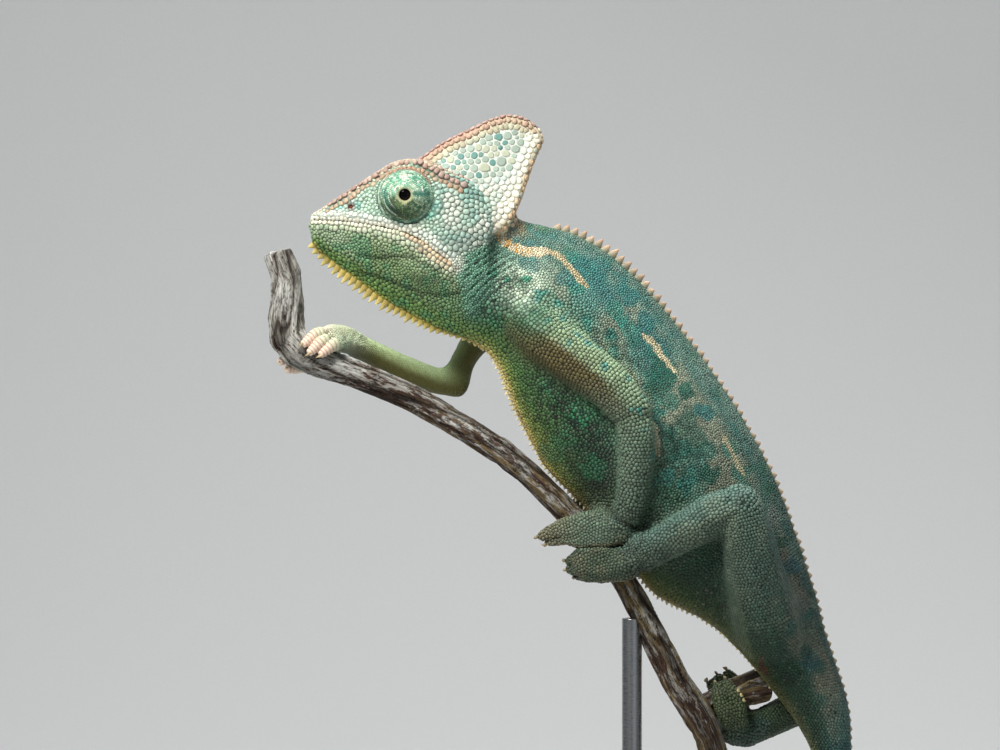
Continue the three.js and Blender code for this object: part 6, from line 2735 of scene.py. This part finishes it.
# ------------------------------------------------------------------ the vine and the stand
@dataclass
class Vine:
    """The cut length of old vine: long twisted fibres, a peeled lower part and a dark side shoot."""

    voxel: float = 0.42
    stations: tuple[tuple[float, float, float, float], ...] = (
        (-75.6, 0.6, 224.6, 3.6), (-72.9, 0.2, 216.8, 3.9), (-73.4, 0, 209, 4.3), (-73.2, 0, 203.2, 4.5),
        (-68.8, 0, 198.7, 4.2), (-60, 0, 195.2, 3.6), (-50, 0, 191.3, 3.4), (-40, 0, 186.8, 3.4),
        (-30, 0, 181.4, 3.3), (-20, 0, 174.9, 3.3), (-10, 0, 166.4, 3.3), (-1.3, 0, 157.5, 3.3),
        (5.4, 0, 149.6, 3.3), (12, 0, 141, 3.3), (18.4, 0, 128.4, 3.4), (23.8, 0, 117.6, 3.5),
        (29, 0, 109.6, 3.8), (32.6, 0, 102.4, 3.8), (34.5, 0, 92, 3.6),
    )
    shoot: tuple[tuple[float, float, float, float], ...] = (
        (29, 1.5, 109.4, 3.2), (33.4, 5.4, 110.9, 3.4), (38.4, 8.4, 113, 3.7), (43, 10.4, 114.8, 4.4),
        (47.6, 11.6, 115.6, 4.6),
    )

    def build(self) -> Piece:
        """Remeshes the solid finely and cuts its fibres, cracks and peeled strips.

        Returns:
            The vine.
        """
        piece = solid_copy("perch")
        piece.name = piece.data.name = "vine"
        only(piece)
        bpy.ops.object.mode_set(mode="EDIT")
        bpy.ops.mesh.select_all(action="SELECT")
        bpy.ops.mesh.remove_doubles(threshold=0.002 * MM)
        bpy.ops.object.mode_set(mode="OBJECT")
        remesh = piece.modifiers.new("even", "REMESH")
        remesh.mode = "VOXEL"
        remesh.voxel_size = self.voxel * MM
        apply_all(piece)
        surface = Surface(piece)
        surface.points = surface.soften(surface.points, 6)
        surface.refresh()
        along, around, on_shoot = self.grain_of(surface.points)
        self.carve(surface, along, around, on_shoot)
        surface.write()
        give_value(piece.data, "along", along)
        give_value(piece.data, "around_x", np.cos(around) * 4)
        give_value(piece.data, "around_y", np.sin(around) * 4)
        give_value(piece.data, "depth", self.depth)
        give_value(piece.data, "silver", self.silver)
        piece.data.shade_smooth()
        return piece

    def grain_of(self, points: Array) -> tuple[Array, Array, Array]:
        """Where each point is on the vine: how far along, which way round, and whether on the shoot.

        Args:
            points: rows of x, y, z in millimetres.

        Returns:
            The distance along, the angle round, and 1 on the shoot or 0 elsewhere.
        """
        best = np.full(len(points), np.inf)
        along, around, shoot = (np.zeros(len(points)) for _ in range(3))
        for number, table in enumerate((self.stations, self.shoot)):
            stations = np.array(table, float)
            travelled = 200.0 * number
            for a, b in zip(stations[:-1], stations[1:]):
                step = b[:3] - a[:3]
                length = np.linalg.norm(step)
                share = np.clip((points - a[:3]) @ step / length**2, 0, 1)
                off = points - a[:3] - share[:, None] * step
                gap = np.linalg.norm(off, axis=1) - (a[3] + share * (b[3] - a[3]))
                side = np.array([0, 1.0, 0])
                up = np.cross(step / length, side)
                nearer = gap < best
                best = np.where(nearer, gap, best)
                along = np.where(nearer, travelled + share * length, along)
                around = np.where(nearer, np.arctan2(off @ up, off @ side), around)
                shoot = np.where(nearer, float(number), shoot)
                travelled += length
        return along, around, shoot

    def carve(self, surface: Surface, along: Array, around: Array, on_shoot: Array) -> None:
        """Cuts strands and fibres that wind slowly round the vine, with long slits and lifted strips.

        Args:
            surface: the vine's surface.
            along: how far along the vine each vertex is.
            around: which way round it is.
            on_shoot: 1 where it is on the shoot.
        """
        ring = np.stack([np.cos(around), np.sin(around)], axis=1)
        wander = cloud(np.hstack([ring * 1.7, along[:, None] / 15]), 1.0, 60)
        turned = around + along * 0.03 + 1.5 * (wander - 0.5)
        wound = np.stack([np.cos(turned) * 4, np.sin(turned) * 4, along / 7], axis=1)
        twist = turned + 0.1 * np.clip(40 - along, 0, 40)
        strand = np.abs(np.sin(2.5 * twist + 0.6)) ** 0.5
        fibre = np.abs(np.sin(8.5 * twist + 2.4 * cloud(wound, 1.2, 61))) ** 0.7
        first, _, number = pebbles(wound, 1.5, 63)
        slit = (1 - ease(0.1, 0.36, first)) * (number > 0.6)
        broad = cloud(wound, 3.4, 64)
        peeled = ease(0.0, 0.3, np.sin(along / 9.0 + 1.3 * broad) - 0.35) * (along > 120) * (on_shoot < 0.5)
        depth = 0.75 * (strand - 0.78) + 0.26 * (fibre - 0.6) + 0.25 * (cloud(wound, 0.6, 62) - 0.5)
        depth = depth - 0.55 * slit + 0.6 * (broad - 0.5)
        depth = depth * (1 - 0.5 * peeled) - 0.2 * peeled
        # The finish paints the ridges lighter and the cracks darker by this depth, as painted light and painted
        # shade.
        self.depth = np.clip(0.55 + 0.6 * depth, 0, 1)
        x = surface.points[:, 0]
        # Greyer towards the weathered left bend, and on the upward faces as a painted highlight.
        self.silver = 0.36 + 0.46 * (1 - ease(-70, -46, x)) + 0.2 * surface.normals[:, 2] - 0.1 * on_shoot
        surface.push(depth - 0.05)


@dataclass(frozen=True)
class WeatheredBark:
    """Old vine bark: silver-grey fibres over brown cracks, ochre where it has peeled, matt and fibrous, with
    painted highlights on the ridges and upper faces and painted shade in the cracks.
    """

    fibre: float = 0.35  # mm between fibres
    roughness: float = 0.82

    def make(self) -> bpy.types.Material:
        """Builds the finish along the grain stored on the vine.

        Returns:
            The material.
        """
        recipe = Recipe("weathered_vine_bark")
        along = recipe.times(recipe.read("along"), 0.09)
        around = [recipe.read(name) for name in ("around_x", "around_y")]
        place = recipe.add("CombineXYZ", dict(enumerate((*around, along))), "Vector")
        lower = recipe.span(recipe.add("SeparateXYZ", {"Vector": recipe.place}, "Z"), (0.155, 0.2), (1.0, 0.0))
        peeled = recipe.times(lower, recipe.span(recipe.noise(0.35, 3.0, at=place), (0.45, 0.55)))
        depth = recipe.read("depth")
        # Each ramp runs from near black in the cracks to light on the ridges: painted shade and painted
        # highlight over the bark's own colours.
        bark = recipe.ramp(
            depth, (0.0, "#0c0705"), (0.36, "#251914"), (0.58, "#463229"), (0.8, "#655147"), (1.0, "#86766a")
        )
        tan = recipe.ramp(
            depth, (0.0, "#1f1509"), (0.35, "#55452d"), (0.6, "#82714f"), (0.85, "#a08f68"), (1.0, "#b0a27c")
        )
        grey = recipe.ramp(
            depth, (0.0, "#1a1512"), (0.36, "#4b443e"), (0.56, "#94928c"), (0.78, "#c9cbc7"), (1.0, "#e6e7e4")
        )
        wide = recipe.add("VectorMath", {0: place, 1: (1.0, 1.0, 3.2)}, 0, operation="MULTIPLY")
        # The grey reaches further where the stored silver is high, which includes a painted highlight on the
        # upward faces.
        lifted = recipe.times(recipe.read("silver"), 0.24)
        flakes = recipe.noise(0.75, 9.0, 0.76, wide)
        reach = recipe.add("Math", {0: flakes, 1: lifted}, "Value", operation="ADD")
        wood = recipe.blend(recipe.span(reach, (0.585, 0.625)), recipe.blend(peeled, bark, tan), grey)
        chips = recipe.span(recipe.noise(1.9, 8.0, 0.7, wide), (0.41, 0.46), (0.26, 1.1))
        fibres = recipe.span(recipe.noise(1 / self.fibre, 4.0, 0.65, place), (0.3, 0.7), (0.42, 1.25))
        streak = recipe.times(chips, fibres)
        recipe.bump(streak, 0.25, 0.8)
        return recipe.finish(
            {"Base Color": recipe.shade(wood, streak), "Roughness": self.roughness, "Specular IOR Level": 0.25}
        )


@dataclass
class Stand:
    """The display stand: a plate with rounded corners and two slim rods up to the vine."""

    corner: float = 14.0
    edge: float = 1.5
    rod: float = 2.5
    collar: float = 0.5  # how far it stands out
    collar_height: float = 4.0

    def plate(self) -> Piece:
        """Shapes the plate from a block: corners rounded, then every edge eased.

        Returns:
            The plate.
        """
        low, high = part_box("stand_base")
        bpy.ops.object.select_all(action="DESELECT")
        bpy.ops.mesh.primitive_cube_add(size=1, location=(low + high) / 2, scale=high - low)
        piece = new_piece("display_plate")
        bpy.ops.object.mode_set(mode="EDIT")
        bpy.ops.mesh.select_mode(type="EDGE")
        bpy.ops.mesh.select_all(action="DESELECT")
        choose(piece, "edges", lambda edge: abs(edge.verts[0].co.z - edge.verts[1].co.z) > 1e-4)
        bpy.ops.mesh.bevel(offset=self.corner * MM, segments=14, affect="EDGES")
        choose(piece, "faces", lambda face: abs(face.normal.z) > 0.9)
        bpy.ops.mesh.inset(thickness=6 * MM)
        bpy.ops.object.mode_set(mode="OBJECT")
        ease_edges(piece, self.edge * MM, 5, 60)
        bpy.ops.object.shade_smooth_by_angle(angle=math.radians(30))
        return piece

    def rods(self) -> list[Piece]:
        """Turns both rods, each with a low collar where it stands in the plate.

        Returns:
            The front rod and the back one.
        """
        made = []
        for name in ("stand_rod_front", "stand_rod_back"):
            low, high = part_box(name)
            middle = (low + high) / 2
            bpy.ops.object.select_all(action="DESELECT")
            bpy.ops.mesh.primitive_cylinder_add(
                vertices=48, radius=self.rod * MM, depth=high.z - low.z, location=middle, end_fill_type="NGON"
            )
            piece = new_piece(name.replace("stand_rod", "steel_rod"))
            bpy.ops.object.mode_set(mode="EDIT")
            bpy.ops.mesh.select_mode(type="FACE")
            bpy.ops.mesh.select_all(action="SELECT")
            top = low.z + self.collar_height * MM
            bpy.ops.mesh.bisect(plane_co=(middle.x, middle.y, top), plane_no=(0, 0, 1))
            bpy.ops.mesh.select_all(action="DESELECT")
            choose(piece, "faces", lambda face: face.calc_center_median().z < top and abs(face.normal.z) < 0.5)
            bpy.ops.mesh.extrude_region_shrink_fatten(TRANSFORM_OT_shrink_fatten={"value": self.collar * MM})
            bpy.ops.object.mode_set(mode="OBJECT")
            ease_edges(piece, 0.25 * MM, 3, 50)
            bpy.ops.object.shade_smooth_by_angle(angle=math.radians(30))
            made.append(piece)
        return made


@dataclass(frozen=True)
class SatinLacquer:
    """Plate steel under satin charcoal lacquer: an even soft sheen with faint orange peel."""

    peel: float = 1.4  # mm between the ripples of the lacquer

    def make(self) -> bpy.types.Material:
        """Builds the finish in the plate's own coordinates.

        Returns:
            The material.
        """
        recipe = Recipe("satin_charcoal_lacquer")
        wear = recipe.noise(1 / (22 * MM), 5.0)
        colour = recipe.ramp(wear, (0.0, "#26282a"), (1.0, "#35383a"))
        recipe.bump(recipe.noise(1 / (self.peel * MM)), 0.03, 0.4)
        return recipe.finish({"Base Color": colour, "Roughness": recipe.span(wear, end=(0.34, 0.5))})


@dataclass(frozen=True)
class BrushedSteel:
    """Stainless rod, brushed round: fine rings that stretch the highlight."""

    scratch: float = 0.12  # mm between the rings

    def make(self) -> bpy.types.Material:
        """Builds the finish with its rings across each rod.

        Returns:
            The material.
        """
        recipe = Recipe("brushed_stainless_steel")
        squeezed = recipe.add("Mapping", {"Vector": recipe.place, "Scale": (0.05, 0.05, 1.0)}, "Vector")
        rings = recipe.noise(1 / (self.scratch * MM), at=squeezed)
        colour = recipe.ramp(rings, (0.0, "#a9adb0"), (1.0, "#c3c6c8"))
        recipe.bump(rings, 0.01, 0.3)
        rough = recipe.span(rings, end=(0.2, 0.38))
        return recipe.finish({"Base Color": colour, "Roughness": rough, "Metallic": 1.0})


# ------------------------------------------------------------------ the studio
@dataclass
class Studio:
    """A pale floor that curves up into a pale wall, soft lights, and the camera."""

    width: float = 3.2
    depth: float = 1.1
    tall: float = 2.0
    bend: float = 0.5

    def sweep(self) -> Piece:
        """Shapes the floor and wall as one curved sheet.

        Returns:
            The sheet.
        """
        bpy.ops.object.select_all(action="DESELECT")
        bpy.ops.mesh.primitive_plane_add(size=1, location=(0, self.depth / 2 - 0.8, 0), scale=(1, 1, 1))
        bpy.ops.transform.resize(value=(self.width, self.depth + 1.6, 1))
        piece = new_piece("studio_sweep")
        bpy.ops.object.mode_set(mode="EDIT")
        bpy.ops.mesh.select_mode(type="EDGE")
        bpy.ops.mesh.select_all(action="DESELECT")
        back = max(v.co.y for v in bmesh.from_edit_mesh(piece.data).verts)
        choose(piece, "edges", lambda edge: all(v.co.y > back - 1e-4 for v in edge.verts))
        bpy.ops.mesh.extrude_region_move(TRANSFORM_OT_translate={"value": (0, 0, self.tall)})
        bpy.ops.object.mode_set(mode="OBJECT")
        ease_edges(piece, self.bend, 24, 30)
        piece.data.shade_smooth()
        return piece

    def light(self, name: str, place: Vector, target: Vector, size: float, power: float, tint: str) -> None:
        """Hangs one soft lamp that looks at the target.

        Args:
            name: the lamp's name.
            place: where it hangs.
            target: where it looks.
            size: the length of its sides.
            power: its power.
            tint: its colour as #rrggbb.
        """
        lamp = bpy.data.lights.new(name, "AREA")
        lamp.shape = "SQUARE"
        lamp.size = size
        lamp.energy = power
        lamp.color = tuple(linear(tint))
        hung = bpy.data.objects.new(name, lamp)
        hung.location = place
        hung.visible_camera = False
        hung.rotation_euler = (target - place).to_track_quat("-Z", "Y").to_euler()
        bpy.context.scene.collection.objects.link(hung)

    def lights(self) -> None:
        """Hangs the key lamp, the fill, the rim lamp and the lamp on the wall, and sets the pale surroundings.
        """
        target = Vector((-0.01, 0, 0.19))
        wall = Vector((0, 0.85, 0.25))
        self.light("key", Vector((-0.17, -0.22, 0.45)), Vector((-0.03, 0, 0.2)), 0.15, 1.95, "#fffaf2")
        self.light("fill", Vector((0.5, -0.95, 0.3)), target, 0.8, 0.45, "#f4f8ff")
        self.light("rim", Vector((0.3, 0.45, 0.8)), target, 0.4, 2.0, "#ffffff")
        self.light("wall", Vector((0, 0.15, 1.5)), wall, 1.4, 13.0, "#ffffff")
        world = bpy.data.worlds.new("pale_room")
        bpy.context.scene.world = world
        world.use_nodes = True
        world.node_tree.nodes["Background"].inputs["Color"].default_value = rgba("#e9edf0")
        world.node_tree.nodes["Background"].inputs["Strength"].default_value = 0.14
        bpy.context.scene.view_settings.view_transform = "Standard"

    def camera(self) -> None:
        """Sets up the level camera on the animal's left side."""
        lens = bpy.data.cameras.new("camera")
        lens.lens = 108
        lens.sensor_width = 36
        lens.clip_start, lens.clip_end = 0.01, 12
        held = bpy.data.objects.new("camera", lens)
        held.location = (-0.020, -0.750, 0.19375)
        held.rotation_euler = (math.pi / 2, 0, 0)
        bpy.context.scene.collection.objects.link(held)
        bpy.context.scene.camera = held


@dataclass(frozen=True)
class PalePaper:
    """Matt studio paper with a barely visible tooth."""

    def make(self) -> bpy.types.Material:
        """Builds the finish in the sheet's own coordinates.

        Returns:
            The material.
        """
        recipe = Recipe("matt_studio_paper")
        colour = recipe.ramp(recipe.noise(900.0), (0.0, "#d4d6d6"), (1.0, "#dcdede"))
        return recipe.finish({"Base Color": colour, "Roughness": 0.9})


def dress(piece: Piece, material: bpy.types.Material, slot: str, *nodes: str) -> None:
    """Gives a finished piece its material and its body, and hides the solids that it stands for.

    Args:
        piece: the piece.
        material: its material.
        slot: not used.
        *nodes: the solids that it stands for.
    """
    piece.data.materials.clear()
    piece.data.materials.append(material)
    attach(piece, BODY)
    if nodes:
        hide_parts(*nodes)
    LOG.info("%s: %d vertices", piece.name, len(piece.data.vertices))


def main() -> None:
    """Builds the animal, the vine, the stand and the studio in order."""
    logging.basicConfig(level=logging.INFO, format="%(relativeCreated)6d ms  %(message)s")
    studio = Studio()
    paper = studio.sweep()
    paper.data.materials.append(PalePaper().make())
    studio.lights()
    studio.camera()

    skin = Skin()
    body = skin.build()
    markings = Markings()
    surface = skin.surface
    shares = skin.shares()
    tone = markings.tone(surface.points, surface.normals, shares)
    # The skin between the scales darkened as painted shade, less so on the bare parts and the far arm.
    between_scales_shade = 0.36 + sum(more * share_of(shares, part) for part, more in BARENESS.items())
    between_scales_shade += 0.5 * share_of(shares, Part.ARM, Part.HAND) * on_far_arm(surface.points)
    give_colour(body.data, "tone", np.clip(tone * between_scales_shade[:, None], 0.003, 0.95))
    dress(body, LizardSkin().make(), SKIN_SLOT, *FLESH)

    pearl = PearlScale().make()
    coat = Coat(skin, markings)
    for piece in (*coat.build(), ToeBands().build()):
        dress(piece, pearl, SKIN_SLOT)
    for crest in (
        Crest(
            "crest_back", ((-5.6, 231.1), *BACK_LINE[2:]), 2.2,
            ((0, 1.5), (0.02, 2.5), (0.1, 2.4), (0.17, 1.7), (0.3, 1.2), (0.6, 0.9), (1, 0.4)),
            0.64, 0.25, ("#80907a", "#dcb193"), 1, 0.52,
        ),
        Crest(
            "crest_belly", BELLY_LINE[:14], 1.4, ((0, 0.7), (0.1, 1.0), (0.7, 0.9), (1, 0.5)),
            0.5, 0.2, ("#cdbf86", "#ece1bd"), -1,
        ),
        Crest(
            "crest_gular", CHIN_LINE, 1.62,
            ((0, 2.3), (0.1, 3.1), (0.45, 3.0), (0.7, 2.2), (0.85, 1.3), (1, 0.7)),
            0.8, -0.12, ("#a18c2c", "#ddd08c"), -1,
        ),
    ):
        dress(crest.build(coat.tree), pearl, SKIN_SLOT)

    cornea = WetCornea().make()
    for side, name in ((-1, "eyeball_left"), (1, "eyeball_right")):
        dress(Eyeball(side).build(), cornea, "eye", name)
        dress(LidRim(side).build(), pearl, SKIN_SLOT)
    horn = ClawHorn().make()
    for name in sorted(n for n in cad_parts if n.startswith("claw_")):
        dress(Claw(name).build(), horn, "claw", name)
    dress(Vine().build(), WeatheredBark().make(), "vine_wood", "perch")
    stand = Stand()
    dress(stand.plate(), SatinLacquer().make(), "stand_plate", "stand_base")
    steel = BrushedSteel().make()
    for piece, name in zip(stand.rods(), ("stand_rod_front", "stand_rod_back")):
        dress(piece, steel, "stand_steel", name)

    LOG.info("done")


if __name__ == "__main__":
    main()
